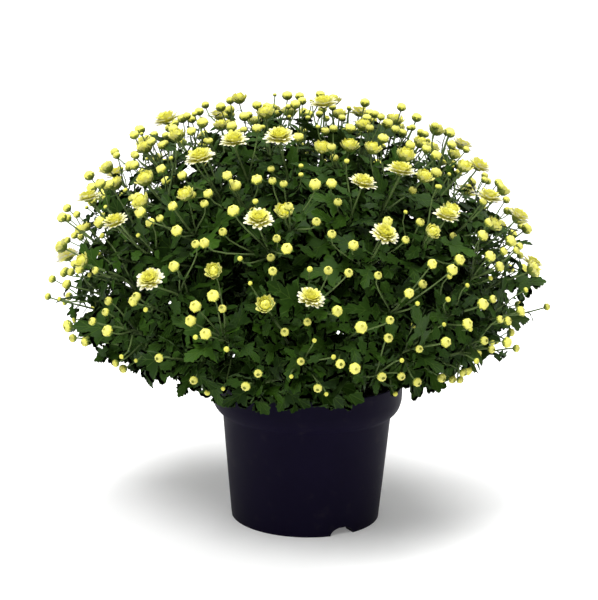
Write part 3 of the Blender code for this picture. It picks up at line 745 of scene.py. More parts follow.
def put_whorl(gathering, head, whorl, noise, loose, finish=0):
    """A ring of petals round the head's axis. Each is a thin closed blade that bends along an arc."""
    count, start, height, first, last, length, half, cup, pale, outline = whorl
    radius, axis, centre = head["radius"], np.array(head["axis"]), np.array(head["centre"])
    side = np.array(head["side_way"])
    across = np.cross(axis, side)
    shares, widths = np.array(outline).T
    turn = (np.arange(count) + noise.uniform(0, 1) + noise.uniform(-1, 1, count) * loose) * FULL_TURN / count
    begin = np.radians(first + noise.uniform(-1, 1, count) * 20 * loose)[:, None]
    end = np.radians(last + noise.uniform(-1, 1, count) * 40 * loose)[:, None]
    reach_out = length * (1 + noise.uniform(-1, 0.6, count) * 0.5 * loose)[:, None]
    angle = begin + (end - begin) * shares
    flat = start + reach_out * (np.sin(angle) - np.sin(begin)) / (end - begin)
    tall = height - reach_out * (np.cos(angle) - np.cos(begin)) / (end - begin)
    out = (np.outer(np.cos(turn), side) + np.outer(np.sin(turn), across))[:, None]
    along_rim = (np.outer(np.cos(turn), across) - np.outer(np.sin(turn), side))[:, None]
    spine = out * flat[..., None] + axis * tall[..., None]
    inward = axis * np.cos(angle)[..., None] - out * np.sin(angle)[..., None]
    width = (half * widths)[None, :, None]
    thick = PETAL_THICKNESS / radius / 2
    lift = inward * cup * width
    ring = [spine + along_rim * width + lift, spine + inward * thick]
    ring += [spine - along_rim * width + lift, spine - inward * thick]
    points = centre + radius * np.stack(ring, axis=2).reshape(-1, 3)
    rings = len(outline)
    blade = np.concatenate([ring_quads(rings, 4), [[3, 2, 1, 0]], [[4 * rings - 4 + k for k in range(4)]]])
    faces = (blade + np.arange(count)[:, None, None] * 4 * rings).reshape(-1, 4)
    places = np.column_stack([np.repeat(shares, 4), np.tile((0, 0.5, 1, 0.5), rings)])
    tone = np.repeat(head["tone"] + noise.uniform(-0.2, 0.2, count), 4 * rings)
    gathering.put(points, [faces], np.tile(places, (count, 1)), tone, pale, finish)


def leaf_pattern(half, step):
    """The flat leaf: (u, v) of its points, their relief, its triangles, and how many points are outline."""
    outline = [*half, (1.0, 0.0), *[(u, -v) for u, v in reversed(half)]]
    rib = [(u, 0.0) for u in RIB_POINTS[::step]]
    vein_shares = (0.45, 0.78)[: max(0, 3 - step)]
    side_veins = [(start + (end - start) * k, width * k) for start, end, width in VEINS for k in vein_shares]
    between = BETWEEN_VEINS[: 4 // step] if step < 3 else ()
    inner = rib + [(u, v * sign) for u, v in side_veins for sign in (-1, 1)]
    inner += [(u, v * sign) for u, v in between for sign in (-1, 1)]
    relief = [0.0] * len(outline) + [RIB_RELIEF] * len(rib) + [VEIN_RELIEF] * (2 * len(side_veins))
    relief += [BULGE_RELIEF] * (2 * len(between))
    flat = [Vector((u, v * LEAF_WIDTH / 2)) for u, v in outline + inner]
    edges = [(i, (i + 1) % len(outline)) for i in range(len(outline))]
    _, _, triangles, sources, _, _ = delaunay_2d_cdt(flat, edges, [], 1, 1e-6)
    triangles = [[sources[index][0] for index in triangle] for triangle in triangles]
    return np.array(outline + inner), np.array(relief), np.array(triangles), len(outline)


def put_leaf(gathering, leaf, patterns, tone):
    """The leaf as a thin closed blade, with its veins sunk and the fields between them raised."""
    places, relief, triangles, rim = patterns[(leaf["length"] < SMALL_LEAF) + (leaf["length"] < BRACT_LEAF)]
    u, v = places.T
    length, bend = leaf["length"], leaf["bend"]
    half = length * LEAF_WIDTH / 2 * leaf["narrow"]
    along, up = np.array(leaf["along"]), np.array(leaf["up"])
    across = np.cross(along, up)
    turn, twist = (bend * u)[:, None], (leaf["twist"] * u)[:, None]
    spine = np.array(leaf["root"]) + (along * np.sin(turn) - up * (1 - np.cos(turn))) * length / bend
    normal = up * np.cos(turn) + along * np.sin(turn)
    side = across * np.cos(twist) + normal * np.sin(twist)
    normal = normal * np.cos(twist) - across * np.sin(twist)
    wave = 0.6 + 0.4 * np.cos(9 * u + leaf["wave"])
    ripple = 0.05 * np.sin(17 * u + 5 * v + leaf["wave"]) * v**2
    lift = half * (LEAF_FOLD * np.abs(v) * wave - EDGE_DROOP * v**2 + ripple) + relief * length
    upper = spine + side * (v * half)[:, None] + normal * lift[:, None]
    thick = np.where(u < 0.2, PETIOLE_THICKNESS, BLADE_THICKNESS)[rim:, None]
    lower = upper[rim:] - normal[rim:] * thick
    under = np.where(triangles < rim, triangles, triangles + len(u) - rim)
    points = np.concatenate([upper, lower])
    spots = np.column_stack([u, v / 2 + 0.5])
    spots = np.concatenate([spots, spots[rim:]])
    gathering.put(points, [triangles[:, ::-1]], spots, tone, 0, 0)
    gathering.faces.append(under + gathering.count - len(points))
    gathering.finishes.append(np.full(len(under), 1))


def dressed(head, draw):
    """Turns the head outwards, and gives it the direction that its petals are counted from and a tone."""
    if head["kind"] != "open":
        head["axis"] = (head["axis"] + dome_normal(head["centre"]) * HEAD_TURN).normalized()
    axis = head["axis"]
    head["side_way"] = Quaternion(axis, draw.uniform(0, FULL_TURN)) @ axis.orthogonal().normalized()
    head["tone"] = draw.uniform(*HEAD_TONES[head["kind"]])
    return head


def fine_paths(plans):
    """A smooth path for each shoot, from the stem to its head."""
    draw = random.Random(SEED + 5)
    for plan in plans:
        plan["curves"] = []
        for head in plan["heads"]:
            dressed(head, draw)
            head["curve"] = smoothed([*head["path"][:-1], head_foot(head)], head["axis"] * 0.6, 6)
            if not head["side"]:
                plan["curves"].append(head["curve"])


def pick_kind(mix, draw):
    """A kind of head and its place in the dome, by the shares of this mix."""
    pick = draw.random()
    for kind, share, low, high in mix:
        pick -= share
        if pick < 0:
            break
    return kind, draw.uniform(low, high)


def rooted_curve(plans, head, draw):
    """The stem, and the curve of a stalk that leaves one of its shoots and bends up into the head."""
    foot = head_foot(head)
    wanted = draw.uniform(*STALK_LENGTHS)

    def misfit(spot):
        _, curve, k = spot
        arm = foot - curve[k]
        aslant = 1 - arm.normalized().dot(rise)
        return abs(arm.length - wanted) + aslant * 0.16

    rise = (head["direction"] + head["axis"]).normalized()
    near = [plan for plan in plans if plan["middle"].dot(head["direction"]) > NEAR_STEM]
    spots = [(plan, curve, k) for plan in near for curve in plan["curves"] for k in range(2, len(curve) - 2)]
    plan, curve, k = min(spots, key=misfit)
    way = (curve[k + 1] - curve[k - 1]).normalized()
    arm = (foot - curve[k]).length
    return plan, bezier(curve[k], curve[k] + way * arm * 0.3, foot - head["axis"] * arm * 0.3, foot, 7)


def more_heads(plans):
    """Fills the dome's surface with further heads, each on a stalk from a shoot of its own stem."""
    draw = random.Random(SEED + 6)
    every = [head for plan in plans for head in plan["heads"]]
    for plan in plans:
        plan["more"] = []
    for direction in lattice(MORE_HEADS, LOWEST_HEAD, 0.5):
        way = tilted(direction, draw.uniform(0, HEAD_STRAY), draw.uniform(0, FULL_TURN))
        low = elevation_of(way) < LOW_HEADS
        if low and draw.random() > LOW_HEAD_SHARE:
            continue
        kind, depth = pick_kind(LOW_MIX if low else HIGH_MIX, draw)
        radius = draw.uniform(*HEAD_RADII[kind])
        centre = HUB + way * (reach(way) * depth - radius)
        if any((other["centre"] - centre).length < other["radius"] + radius + HEAD_GAP for other in every):
            continue
        lean = Vector((draw.uniform(-1, 1), draw.uniform(-1, 1), 0)) * HEAD_LEAN
        axis = (dome_normal(centre) * 0.55 + UP * 0.6 + lean).normalized()
        head = {"kind": kind, "centre": centre, "axis": axis, "radius": radius, "direction": way}
        plan, head["curve"] = rooted_curve(plans, dressed(head, draw), draw)
        plan["more"].append(head)
        every.append(head)
    return every


def head_tree(heads):
    """The heads' centres, to look up quickly what lies near a point."""
    tree = KDTree(len(heads))
    for index, head in enumerate(heads):
        tree.insert(head["centre"], index)
    tree.balance()
    return tree


def rib_point(leaf, share):
    """A point on the middle line of a leaf."""
    turn = leaf["bend"] * share
    lift = leaf["along"] * math.sin(turn) - leaf["up"] * (1 - math.cos(turn))
    return leaf["root"] + lift * leaf["length"] / leaf["bend"]


def leaf_is_free(leaf, heads, tree):
    """True where the blade stays in the dome, off the pot and off the heads."""
    across = leaf["along"].cross(leaf["up"])
    half = leaf["length"] * LEAF_WIDTH / 2 * leaf["narrow"]
    spots = [rib_point(leaf, share) for share in (0.35, 0.65, 1.0)]
    spots += [rib_point(leaf, 0.6) + across * half * sign for sign in (-0.9, 0.9)]
    for spot in spots:
        if dome_share(spot) > LEAF_LIMIT or not clear_of_pot(spot):
            return False
        for _, index, distance in tree.find_n(spot, 2):
            if distance < heads[index]["radius"] + CLEAR_OF_HEADS:
                return False
    return True


def side_leaf(root, way, turn, length, narrow, draw):
    """A leaf that leaves its stalk to one side and turns its face up and out of the dome."""
    side = Quaternion(way, turn) @ way.orthogonal().normalized()
    lean = draw.uniform(0.75, 1.25)
    along = (way * math.cos(lean) + side * math.sin(lean)).normalized()
    out = dome_normal(root) * 0.6 + UP * 0.5 + Vector([draw.uniform(-0.6, 0.6) for _ in range(3)])
    up = (out - along * out.dot(along)).normalized()
    leaf = {"root": root, "along": along, "up": up, "length": length, "narrow": narrow}
    leaf["bend"] = draw.uniform(0.4, 1.3)
    leaf["wave"] = draw.uniform(0, FULL_TURN)
    leaf["twist"] = draw.uniform(-0.5, 0.5)
    return leaf


def leaves_along(curve, span, step, lengths, widths, draw):
    """Leaves placed round a shoot, each a golden turn on from the last, smaller towards its head."""
    total = sum((b - a).length for a, b in zip(curve[:-1], curve[1:]))
    turn = draw.uniform(0, FULL_TURN)
    walked, goal = 0.0, total * span[0]
    for a, b in zip(curve[:-1], curve[1:]):
        piece = (b - a).length
        while walked + piece > goal and goal < total * span[1]:
            share = (goal / total - span[0]) / (span[1] - span[0])
            size = lengths[0] + (lengths[1] - lengths[0]) * share
            narrow = widths[0] + (widths[1] - widths[0]) * share
            root = a.lerp(b, (goal - walked) / piece)
            yield side_leaf(root, (b - a).normalized(), turn, size * draw.uniform(0.8, 1.15), narrow, draw)
            goal += step * draw.uniform(0.8, 1.2)
            turn += GOLDEN_TURN
        walked += piece


def grown_leaf(plan, direction, depth, draw):
    """A leaf whose blade lies at this depth of the dome, rooted on the nearest fitting shoot or stem."""
    roots = [plan["path"][-3].lerp(plan["path"][-1], k / 6) for k in range(6)]
    roots += [point for curve in plan["curves"] for point in curve[1:-2]]
    leaf = grow_leaf(plan, HUB + direction * reach(direction) * depth, roots, draw)
    leaf["narrow"], leaf["twist"] = 1.0, draw.uniform(-0.4, 0.4)
    return leaf


def more_leaves(plans, heads):
    """Fills the dome with leaves: along the shoots, on the stalks, deep inside, and hanging over the rim."""
    draw = random.Random(SEED + 7)
    tree = head_tree(heads)
    for plan in plans:
        found = []
        for curve in plan["curves"]:
            found += leaves_along(curve, SHOOT_LEAVES, SHOOT_LEAF_STEP, SHOOT_LEAF_LENGTHS, SHOOT_LEAF_WIDTHS, draw)
        for head in plan["more"]:
            found += leaves_along(head["curve"], BRACT_SPAN, BRACT_STEP, BRACT_LENGTHS, BRACT_WIDTHS, draw)
        for _ in range(INNER_LEAVES):
            turn = draw.uniform(0, FULL_TURN)
            way = tilted(plan["middle"], draw.uniform(0, INNER_SPREAD), turn)
            found.append(grown_leaf(plan, way, draw.uniform(*INNER_DEPTHS), draw))
        plan["fine_leaves"] = [leaf for leaf in found if leaf_is_free(leaf, heads, tree)]
    for i in range(SKIRT_LEAVES):
        azimuth = 360 * (i + draw.uniform(-0.4, 0.4)) / SKIRT_LEAVES
        way = towards(azimuth, draw.uniform(*SKIRT_ELEVATIONS))
        plan = max(plans, key=lambda one: one["middle"].dot(way))
        leaf = grown_leaf(plan, way, draw.uniform(*SKIRT_DEPTHS), draw)
        leaf["up"] = Quaternion(leaf["along"], draw.uniform(-SKIRT_ROLL, SKIRT_ROLL)) @ leaf["up"]
        if leaf_is_free(leaf, heads, tree):
            plan["fine_leaves"].append(leaf)


def put_head(gathering, greens, head, noise):
    """The petals of a head, and the green cup and bracts that hold them."""
    kind = head["kind"]
    core, core_pale = CORES[kind]
    put_turned(gathering, head, core, 8, head["tone"], core_pale)
    for whorl in WHORLS[kind]:
        put_whorl(gathering, head, whorl, noise, LOOSENESS[kind])
    put_turned(greens, head, BLOOM_CALYX if kind == "open" else CALYX, 8, head["tone"], 0, 1)
    if kind != "tiny":
        put_whorl(greens, head, BLOOM_BRACTS if kind == "open" else BRACTS, noise, 0.1, 1)


def dress_stem(index, plan, patterns, finishes, draw, noise):
    """The fine leaves, stalks and heads of one leafy stem."""
    node = f"leafy_stem_{index:02d}"
    leaves, stalks, heads = Gathering(), Gathering(), Gathering()
    for leaf in plan["leaves"]:
        put_leaf(leaves, {**leaf, "narrow": 1.0, "twist": 0.0}, patterns, draw.random())
    for leaf in plan["fine_leaves"]:
        put_leaf(leaves, leaf, patterns, draw.random())
    put_tube(stalks, plan["path"][:1] + smoothed(plan["path"][1:], plan["middle"], 3), STEM_RADII, 8, draw.random())
    for head in plan["heads"] + plan["more"]:
        radii = STALK_RADII if head.get("side", True) else SHOOT_RADII
        put_tube(stalks, head["curve"], radii, 5, draw.random())
        if head["kind"] != "open":
            put_head(heads, stalks, head, noise)
    leaves.made(f"leaves_{index:02d}", finishes["leaf"], "foliage", [node])
    stalks.made(f"stalks_{index:02d}", finishes["stalk"], "foliage", [node])
    heads.made(f"flower_heads_{index:02d}", finishes["petal"], "petals", [node])


def dress_blooms(plans, finishes, noise):
    """The open blooms, each a piece of its own, in the order of their solids."""
    blooms = [head for plan in plans for head in plan["heads"] if head["kind"] == "open"]
    for i, head in enumerate(blooms):
        bloom = Gathering()
        put_head(bloom, bloom, head, noise)
        bloom.made(f"bloom_{i + 1:02d}", finishes["bloom"], "petals", [f"open_bloom_{i + 1:02d}"])


def rounded(corners, radius):
    """An outline through these corners, each rounded off by an arc of up to this radius."""
    points = [corners[0]]
    for before, corner, after in zip(corners[:-2], corners[1:-1], corners[2:]):
        a, b, c = (Vector(point) for point in (before, corner, after))
        cut = min(radius, (a - b).length * 0.45, (c - b).length * 0.45)
        start, end = b + (a - b).normalized() * cut, b + (c - b).normalized() * cut
        for k in range(5):
            t = k / 4
            points.append(tuple(start * (1 - t) ** 2 + b * (2 * t * (1 - t)) + end * t**2))
    return [*points, corners[-1]]


def turned_mesh(name, profile, sides):
    """A closed mesh turned about Z, from a profile of (radius, height) that starts and ends on the axis."""
    turns = np.arange(sides) * FULL_TURN / sides
    circle_points = np.column_stack([np.cos(turns), np.sin(turns)])
    rings = [np.column_stack([circle_points * r, np.full(sides, h)]) for r, h in profile[1:-1]]
    points = np.concatenate([*rings, [[0, 0, profile[0][1]], [0, 0, profile[-1][1]]]])
    low, high, top = len(points) - 2, len(points) - 1, (len(rings) - 1) * sides
    i = np.arange(sides)
    j = (i + 1) % sides
    faces = ring_quads(len(rings), sides).tolist()
    faces += np.column_stack([j, i, np.full(sides, low)]).tolist()
    faces += np.column_stack([top + i, top + j, np.full(sides, high)]).tolist()
    mesh = bpy.data.meshes.new(name)
    mesh.from_pydata(points.tolist(), [], faces)
    return mesh


def cut_out(mesh, cutters):
    """The mesh with these closed shapes taken out of it."""
    target = bpy.data.objects.new("target", mesh)
    bpy.context.scene.collection.objects.link(target)
    made = []
    for points, faces in cutters:
        cutter_mesh = bpy.data.meshes.new("cutter")
        cutter_mesh.from_pydata(points, [], faces)
        cutter = bpy.data.objects.new("cutter", cutter_mesh)
        bpy.context.scene.collection.objects.link(cutter)
        taken = target.modifiers.new("cut", "BOOLEAN")
        taken.operation, taken.object = "DIFFERENCE", cutter
        made.append(cutter)
    graph = bpy.context.evaluated_depsgraph_get()
    result = bpy.data.meshes.new_from_object(target.evaluated_get(graph))
    for one in [target, *made]:
        bpy.data.objects.remove(one)
    return result


def prism(outline, offset):
    """A closed shape between an outline and its copy moved by the offset."""
    count = len(outline)
    points = [*outline, *[point + offset for point in outline]]
    faces = [(i, (i + 1) % count, count + (i + 1) % count, count + i) for i in range(count)]
    faces += [tuple(reversed(range(count))), tuple(range(count, 2 * count))]
    return points, faces


def arch_cutter(angle):
    """A low tunnel through the pot's foot ring and the edge of its floor."""
    out = towards(angle, 0)
    side = out.cross(UP)
    turns = [math.pi * i / 16 for i in range(16, -1, -1)]
    middle = out * (FOOT_RADIUS - ARCH_DEPTH * 0.75)
    arch = [side * math.cos(turn) * ARCH_WIDTH / 2 + UP * math.sin(turn) * ARCH_HEIGHT for turn in turns]
    feet = [side * ARCH_WIDTH / 2 * sign - UP * ARCH_HEIGHT for sign in (1, -1)]
    outline = [middle + point for point in [*arch, *feet]]
    return prism(outline, out * ARCH_DEPTH)


def drain_cutter(angle):
    """A round hole through the pot's floor."""
    place = towards(angle, 0) * DRAIN_PLACE - UP * FLOOR_HEIGHT
    return prism(circle(place, UP, Vector((1, 0, 0)), DRAIN_RADIUS, 24), UP * FLOOR_HEIGHT * 3)


def dress_pot(finish):
    """The growing pot with rounded edges, drainage arches and drain holes."""
    inner_collar = RIM_RADIUS - COLLAR_TAPER - WALL
    outer = [
        (FOOT_PAD_RADIUS, 0),
        (FOOT_PAD_RADIUS + 0.002, UNDERSIDE_RECESS),
        (FOOT_RADIUS - FOOT_RING_WIDTH - 0.002, UNDERSIDE_RECESS),
        (FOOT_RADIUS - FOOT_RING_WIDTH, 0),
        (FOOT_RADIUS, 0),
    ]
    collar = [
        (SHOULDER_RADIUS, SHOULDER_HEIGHT),
        (BULGE_RADIUS, BULGE_HEIGHT),
        (RIM_RADIUS - COLLAR_TAPER, COLLAR_FOOT),
        (RIM_RADIUS, POT_HEIGHT - 0.003),
    ]
    rim = [
        (RIM_RADIUS, POT_HEIGHT - 0.0025),
        (RIM_RADIUS, POT_HEIGHT),
        (RIM_RADIUS - LIP, POT_HEIGHT),
        (RIM_RADIUS - LIP, POT_HEIGHT - 0.003),
    ]
    inside = [
        (RIM_RADIUS - LIP, POT_HEIGHT - 0.0035),
        (inner_collar, COLLAR_FOOT),
        (BULGE_RADIUS - WALL, BULGE_HEIGHT),
        (SHOULDER_RADIUS - WALL, SHOULDER_HEIGHT),
        (FOOT_RADIUS - WALL, FLOOR_HEIGHT),
    ]
    profile = [(0, 0), *rounded(outer, EDGE_RADIUS), *rounded(collar, BEND_RADIUS)]
    profile += [*rounded(rim, EDGE_RADIUS), *rounded(inside, BEND_RADIUS), (0, FLOOR_HEIGHT)]
    mesh = turned_mesh("growing_pot", profile, FINE_POT_SIDES)
    cutters = [arch_cutter(angle) for angle in ARCH_ANGLES] + [drain_cutter(angle) for angle in DRAIN_ANGLES]
    finished(cut_out(mesh, cutters), "growing_pot", [finish], ["pot"])


def lumpy(x, y, draw_phases):
    """A height between about -1 and 1 that rises and falls irregularly over the soil."""
    return sum(math.sin(x * fx + y * fy + phase) for fx, fy, phase in draw_phases) / len(draw_phases) ** 0.5


def dress_soil(finish):
    """The soil, with an uneven crumbly top, and loose crumbs and a few white grains on it."""
    draw = random.Random(SEED + 8)
    waves = [(draw.uniform(-900, 900), draw.uniform(-900, 900), draw.uniform(0, FULL_TURN)) for _ in range(7)]
    inner = RIM_RADIUS - COLLAR_TAPER - WALL - GAP
    shares = [k / 26 for k in range(1, 27)]
    top = [(inner * (1 - share), SOIL_LEVEL + SOIL_MOUND * (2 * share - 1)) for share in shares[:-1]]
    profile = [
        (0, FLOOR_HEIGHT + GAP),
        (FOOT_RADIUS - WALL - 2 * GAP, FLOOR_HEIGHT + GAP),
        (SHOULDER_RADIUS - WALL - GAP, SHOULDER_HEIGHT),
        (BULGE_RADIUS - WALL - GAP, BULGE_HEIGHT + GAP),
        (inner, COLLAR_FOOT + GAP),
        (inner, SOIL_LEVEL - SOIL_MOUND),
        *top,
        (0, SOIL_LEVEL + SOIL_MOUND),
    ]
    mesh = turned_mesh("potting_soil", profile, 96)
    for vertex in mesh.vertices:
        x, y, z = vertex.co
        if z > SOIL_LEVEL - SOIL_MOUND and math.hypot(x, y) < inner - 0.002:
            vertex.co.z += 0.0011 * lumpy(x, y, waves)
    crumbs = Gathering()
    for _ in range(CRUMBS):
        spread, azimuth = math.sqrt(draw.random()) * (inner - 0.006), draw.uniform(0, 360)
        place = towards(azimuth, 0) * spread
        height = SOIL_LEVEL + SOIL_MOUND * (1 - 2 * spread / inner) + 0.0008
        axis = Vector([draw.uniform(-1, 1) for _ in range(3)]).normalized()
        grain = {"centre": place + UP * height, "axis": axis, "side_way": axis.orthogonal().normalized()}
        grain["radius"] = draw.uniform(0.0010, 0.0032)
        pale = 1.0 if draw.random() < PERLITE_SHARE else 0.0
        squat = draw.uniform(0.5, 0.9)
        profile = ((0, -squat), (0.8, -0.5 * squat), (1.0, 0.1 * squat), (0.6, 0.8 * squat), (0, squat))
        put_turned(crumbs, grain, profile, 6, draw.random(), pale)
    finished(mesh, "potting_soil", [finish], ["soil"])
    crumbs.made("soil_crumbs", [finish], "soil", ["soil"])


class Finish:
    """A procedural material, with short names for the nodes that it is made of."""

    def __init__(self, name, **constants):
        self.material = bpy.data.materials.new(name)
        self.material.use_nodes = True
        self.tree = self.material.node_tree
        self.shader = self.tree.nodes["Principled BSDF"]
        for socket, value in constants.items():
            self.shader.inputs[socket.replace("_", " ")].default_value = value

    def node(self, kind, *inputs, **settings):
        """A node with these settings, whose first inputs take these values or links."""
        made = self.tree.nodes.new("ShaderNode" + kind)
        for key, value in settings.items():
            setattr(made, key, value)
        for socket, value in zip(made.inputs, inputs):
            self.join(socket, value)
        return made

    def join(self, socket, value):
        """Sets an input, or links it."""
        if isinstance(value, bpy.types.NodeSocket):
            self.tree.links.new(value, socket)
        elif value is not None:
            socket.default_value = value

    def math(self, operation, first, second=0.0, third=0.0, clamp=False):
        made = self.node("Math", first, second, third, operation=operation, use_clamp=clamp)
        return made.outputs[0]

    def ramp(self, value, low, high):
        """0 below low, 1 above high, smooth between them."""
        made = self.node("MapRange", value, low, high, 0.0, 1.0, interpolation_type="SMOOTHSTEP")
        return made.outputs[0]

    def mix(self, share, first, second, blend="MIX"):
        """A colour between two others."""
        made = self.node("Mix", data_type="RGBA", blend_type=blend)
        self.join(made.inputs[0], share)
        self.join(made.inputs[6], first if isinstance(first, bpy.types.NodeSocket) else (*first, 1))
        self.join(made.inputs[7], second if isinstance(second, bpy.types.NodeSocket) else (*second, 1))
        return made.outputs[2]

    def noise(self, scale, detail=3.0):
        """Irregular values about one half, over the object's own space."""
        place = self.node("TexCoord").outputs["Object"]
        made = self.node("TexNoise")
        self.join(made.inputs["Vector"], place)
        self.join(made.inputs["Scale"], scale)
        self.join(made.inputs["Detail"], detail)
        return made.outputs[0]

    def attribute(self, name):
        return self.node("Attribute", attribute_name=name).outputs["Fac"]

    def place(self):
        """The two places of a point on its shape."""
        return self.node("SeparateXYZ", self.node("UVMap", uv_map="place").outputs[0]).outputs[:2]

    def bump(self, height, distance):
        made = self.node("Bump")
        self.join(made.inputs["Strength"], 1.0)
        self.join(made.inputs["Distance"], distance)
        self.join(made.inputs["Height"], height)
        self.join(self.shader.inputs["Normal"], made.outputs[0])

    def colour(self, value):
        self.join(self.shader.inputs["Base Color"], value)

    def roughness(self, value):
        self.join(self.shader.inputs["Roughness"], value)


def leaf_finish(name, deep, fresh, vein_colour):
    """Leaf green that varies from leaf to leaf, with paler veins and a fine puckered surface."""
    made = Finish(name, Specular_IOR_Level=0.10)
    tone = made.attribute("tone")
    u, v = made.place()
    aside = made.math("MULTIPLY", made.math("ABSOLUTE", made.math("SUBTRACT", v, 0.5)), LEAF_WIDTH)
    nearest = aside
    for start, end, width in VEINS:
        run, rise = end - start, width * LEAF_WIDTH / 2
        reach_of_vein = math.hypot(run, rise)
        from_start = made.math("MULTIPLY", made.math("SUBTRACT", u, start), rise / reach_of_vein)
        off = made.math("SUBTRACT", from_start, made.math("MULTIPLY", aside, run / reach_of_vein))
        nearest = made.math("MINIMUM", nearest, made.math("ABSOLUTE", off))
    vein = made.math("SUBTRACT", 1.0, made.ramp(nearest, 0.002, 0.011))
    mottled = made.noise(90.0)
    share = made.math("ADD", made.math("MULTIPLY", tone, 0.75), made.math("MULTIPLY", mottled, 0.35), clamp=True)
    green = made.mix(share, deep, fresh)
    made.colour(made.mix(made.math("MULTIPLY", vein, 0.45), green, vein_colour))
    made.roughness(made.math("ADD", 0.42, made.math("MULTIPLY", mottled, 0.25)))
    height = made.math("SUBTRACT", made.noise(900.0), made.math("MULTIPLY", vein, 0.8))
    made.bump(height, 0.0003)
    return made.material


def stalk_finish():
    """Pale green stalks, darker towards their foot."""
    made = Finish("stalk_green", Roughness=0.6, Specular_IOR_Level=0.15)
    u, _ = made.place()
    share = made.ramp(u, 0.0, 0.7)
    green = made.mix(share, (0.034, 0.052, 0.018), (0.110, 0.160, 0.050))
    made.colour(made.mix(made.math("MULTIPLY", made.noise(400.0), 0.4), green, (0.040, 0.075, 0.016)))
    made.bump(made.noise(1500.0), 0.0002)
    return made.material


def calyx_finish():
    """The green cup under a head, paler at the edges of its bracts."""
    made = Finish("calyx_green", Roughness=0.5, Specular_IOR_Level=0.3)
    u, _ = made.place()
    green = made.mix(made.ramp(u, 0.2, 1.0), (0.085, 0.135, 0.020), (0.30, 0.34, 0.06))
    made.colour(made.mix(made.math("MULTIPLY", made.attribute("tone"), 0.35), green, (0.16, 0.21, 0.035)))
    made.bump(made.noise(1800.0), 0.0002)
    return made.material


def petal_finish():
    """Yellow petals that turn cream where they have opened, green at their foot, with fine streaks."""
    made = Finish("petal_yellow", Roughness=0.55, Specular_IOR_Level=0.25, Subsurface_Weight=0.12)
    made.shader.inputs["Subsurface Radius"].default_value = (0.003, 0.003, 0.001)
    tone, pale = made.attribute("tone"), made.attribute("pale")
    u, v = made.place()
    yellow = made.mix(tone, (0.62, 0.60, 0.080), (0.92, 0.89, 0.150))
    opened = made.math("MULTIPLY", pale, made.ramp(u, 0.35, 0.90), clamp=True)
    coloured = made.mix(opened, yellow, (0.90, 0.88, 0.70))
    foot = made.math("SUBTRACT", 1.0, made.ramp(u, 0.02, 0.34))
    coloured = made.mix(made.math("MULTIPLY", foot, 0.3), coloured, (0.46, 0.48, 0.05))
    eye = made.math("MULTIPLY", pale, -1.0, clamp=True)
    coloured = made.mix(eye, coloured, (0.27, 0.30, 0.03))
    streak = made.math("SINE", made.math("MULTIPLY", v, 38.0))
    made.colour(made.mix(made.math("MULTIPLY", made.ramp(streak, -1.0, 1.0), 0.10), coloured, (0.62, 0.60, 0.16)))
    made.bump(made.math("ADD", streak, made.noise(1200.0)), 0.0001)
    return made.material


def pot_finish():
    """Very dark blue-violet moulded plastic with a faint grain and dusty scuffs."""
    made = Finish("dark_plastic", Specular_IOR_Level=0.03)
    fine, broad = made.noise(1600.0), made.noise(22.0)
    dust = made.ramp(made.noise(70.0, 6.0), 0.56, 0.80)
    base = made.mix(broad, (0.0034, 0.0023, 0.0100), (0.0052, 0.0036, 0.0140))
    made.colour(made.mix(made.math("MULTIPLY", dust, 0.12), base, (0.060, 0.052, 0.045)))
    made.roughness(made.math("ADD", 0.42, made.math("MULTIPLY", broad, 0.16)))
    made.bump(fine, 0.00008)
    return made.material


def soil_finish():
    """Dark peat with brown fibres; pale grains where the shape says so."""
    made = Finish("peat", Roughness=0.95, Specular_IOR_Level=0.15)
    earth = made.mix(made.noise(260.0, 6.0), (0.010, 0.006, 0.004), (0.052, 0.033, 0.020))
    made.colour(made.mix(made.attribute("pale"), earth, (0.62, 0.60, 0.55)))
    made.bump(made.noise(700.0, 6.0), 0.0010)
    return made.material


def finishes():
    """Every finish, by what it is for."""
    leaf = leaf_finish("leaf_upper", (0.0046, 0.0160, 0.0012), (0.024, 0.064, 0.0035), (0.055, 0.108, 0.013))
    back = leaf_finish("leaf_under", (0.0160, 0.0370, 0.0060), (0.036, 0.072, 0.012), (0.070, 0.115, 0.028))
    stalk, calyx, petal = stalk_finish(), calyx_finish(), petal_finish()
    return {
        "leaf": [leaf, back],
        "stalk": [stalk, calyx],
        "petal": [petal],
        "bloom": [petal, calyx],
        "pot": pot_finish(),
        "soil": soil_finish(),
    }


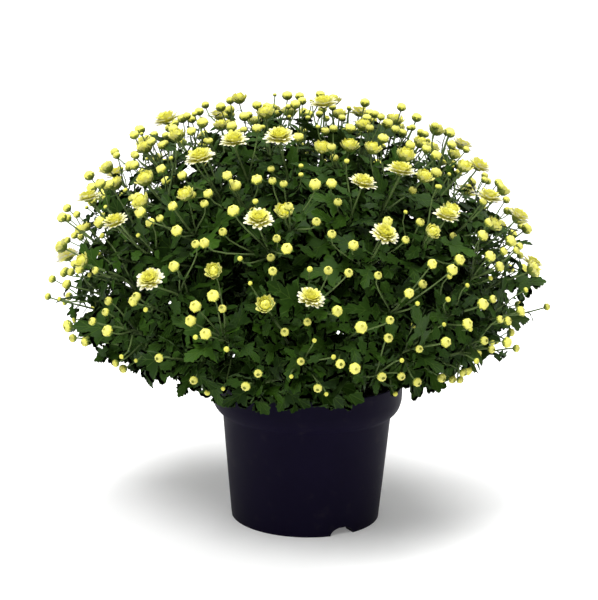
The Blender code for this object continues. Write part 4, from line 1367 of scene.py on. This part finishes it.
def add_stage():
    """A plain pale floor that runs up into a pale wall far behind, and soft light from above and in front."""
    floor = bpy.data.meshes.new("floor")
    steps = [(-6.0, 0.0), (3.0, 0.0), (3.8, 0.15), (4.3, 0.6), (4.5, 1.4), (4.5, 6.0)]
    points = [(x, y, z) for y, z in steps for x in (-8.0, 8.0)]
    floor.from_pydata(points, [], [(2 * i, 2 * i + 1, 2 * i + 3, 2 * i + 2) for i in range(len(steps) - 1)])
    floor.shade_smooth()
    pale = Finish("pale_floor", Roughness=0.9, Specular_IOR_Level=0.1, Emission_Strength=0.16)
    pale.shader.inputs["Emission Color"].default_value = (1, 1, 1, 1)
    pale.colour((0.90, 0.90, 0.90, 1))
    floor.materials.append(pale.material)
    stage = bpy.data.objects.new("floor", floor)
    bpy.context.scene.collection.objects.link(stage)
    world = bpy.data.worlds.new("world")
    bpy.context.scene.world = world
    world.use_nodes = True
    world.node_tree.nodes["Background"].inputs["Color"].default_value = (1, 1, 1, 1)
    world.node_tree.nodes["Background"].inputs["Strength"].default_value = 0.31
    add_light("key", (-0.7, -1.5, 2.4), (0, 0, 0.22), 1.2, 70)
    add_light("top", (0.3, 0.1, 2.5), (0, 0, 0.22), 1.8, 74)
    add_light("wall", (0.0, 1.2, 2.6), (0, 4.5, 1.2), 2.5, 90)


def add_light(name, place, target, size, power):
    """A square soft light that faces the target."""
    light = bpy.data.lights.new(name, "AREA")
    light.size = size
    light.energy = power
    lamp = bpy.data.objects.new(name, light)
    lamp.location = place
    lamp.rotation_euler = (Vector(target) - Vector(place)).to_track_quat("-Z", "Y").to_euler()
    bpy.context.scene.collection.objects.link(lamp)


def add_camera():
    """The photograph's view."""
    data = bpy.data.cameras.new("camera")
    data.lens = CAMERA_LENS
    data.sensor_width = SENSOR
    data.clip_end = 50
    camera = bpy.data.objects.new("camera", data)
    camera.location = CAMERA_PLACE
    pitch = Matrix.Rotation(math.radians(90 - CAMERA_PITCH), 3, "X")
    camera.rotation_euler = (pitch @ Matrix.Rotation(math.radians(CAMERA_ROLL), 3, "Z")).to_euler()
    bpy.context.scene.collection.objects.link(camera)
    bpy.context.scene.camera = camera


def main():
    """Plans the plant as the solids do, grows the finer parts, and builds every piece."""
    plans = stem_plans()
    plan_heads(plans)
    plan_leaves(plans)
    fine_paths(plans)
    heads = more_heads(plans)
    more_leaves(plans, heads)
    looks = finishes()
    patterns = leaf_pattern(HALF_LEAF, 1), leaf_pattern(HALF_LEAF[::2], 2), leaf_pattern(BRACT_OUTLINE, 4)
    draw, noise = random.Random(SEED + 9), np.random.default_rng(SEED)
    for index, plan in enumerate(plans):
        dress_stem(index + 1, plan, patterns, looks, draw, noise)
    dress_blooms(plans, looks, noise)
    dress_pot(looks["pot"])
    dress_soil(looks["soil"])
    add_stage()
    add_camera()
    bpy.context.scene.view_settings.view_transform = "Standard"


main()
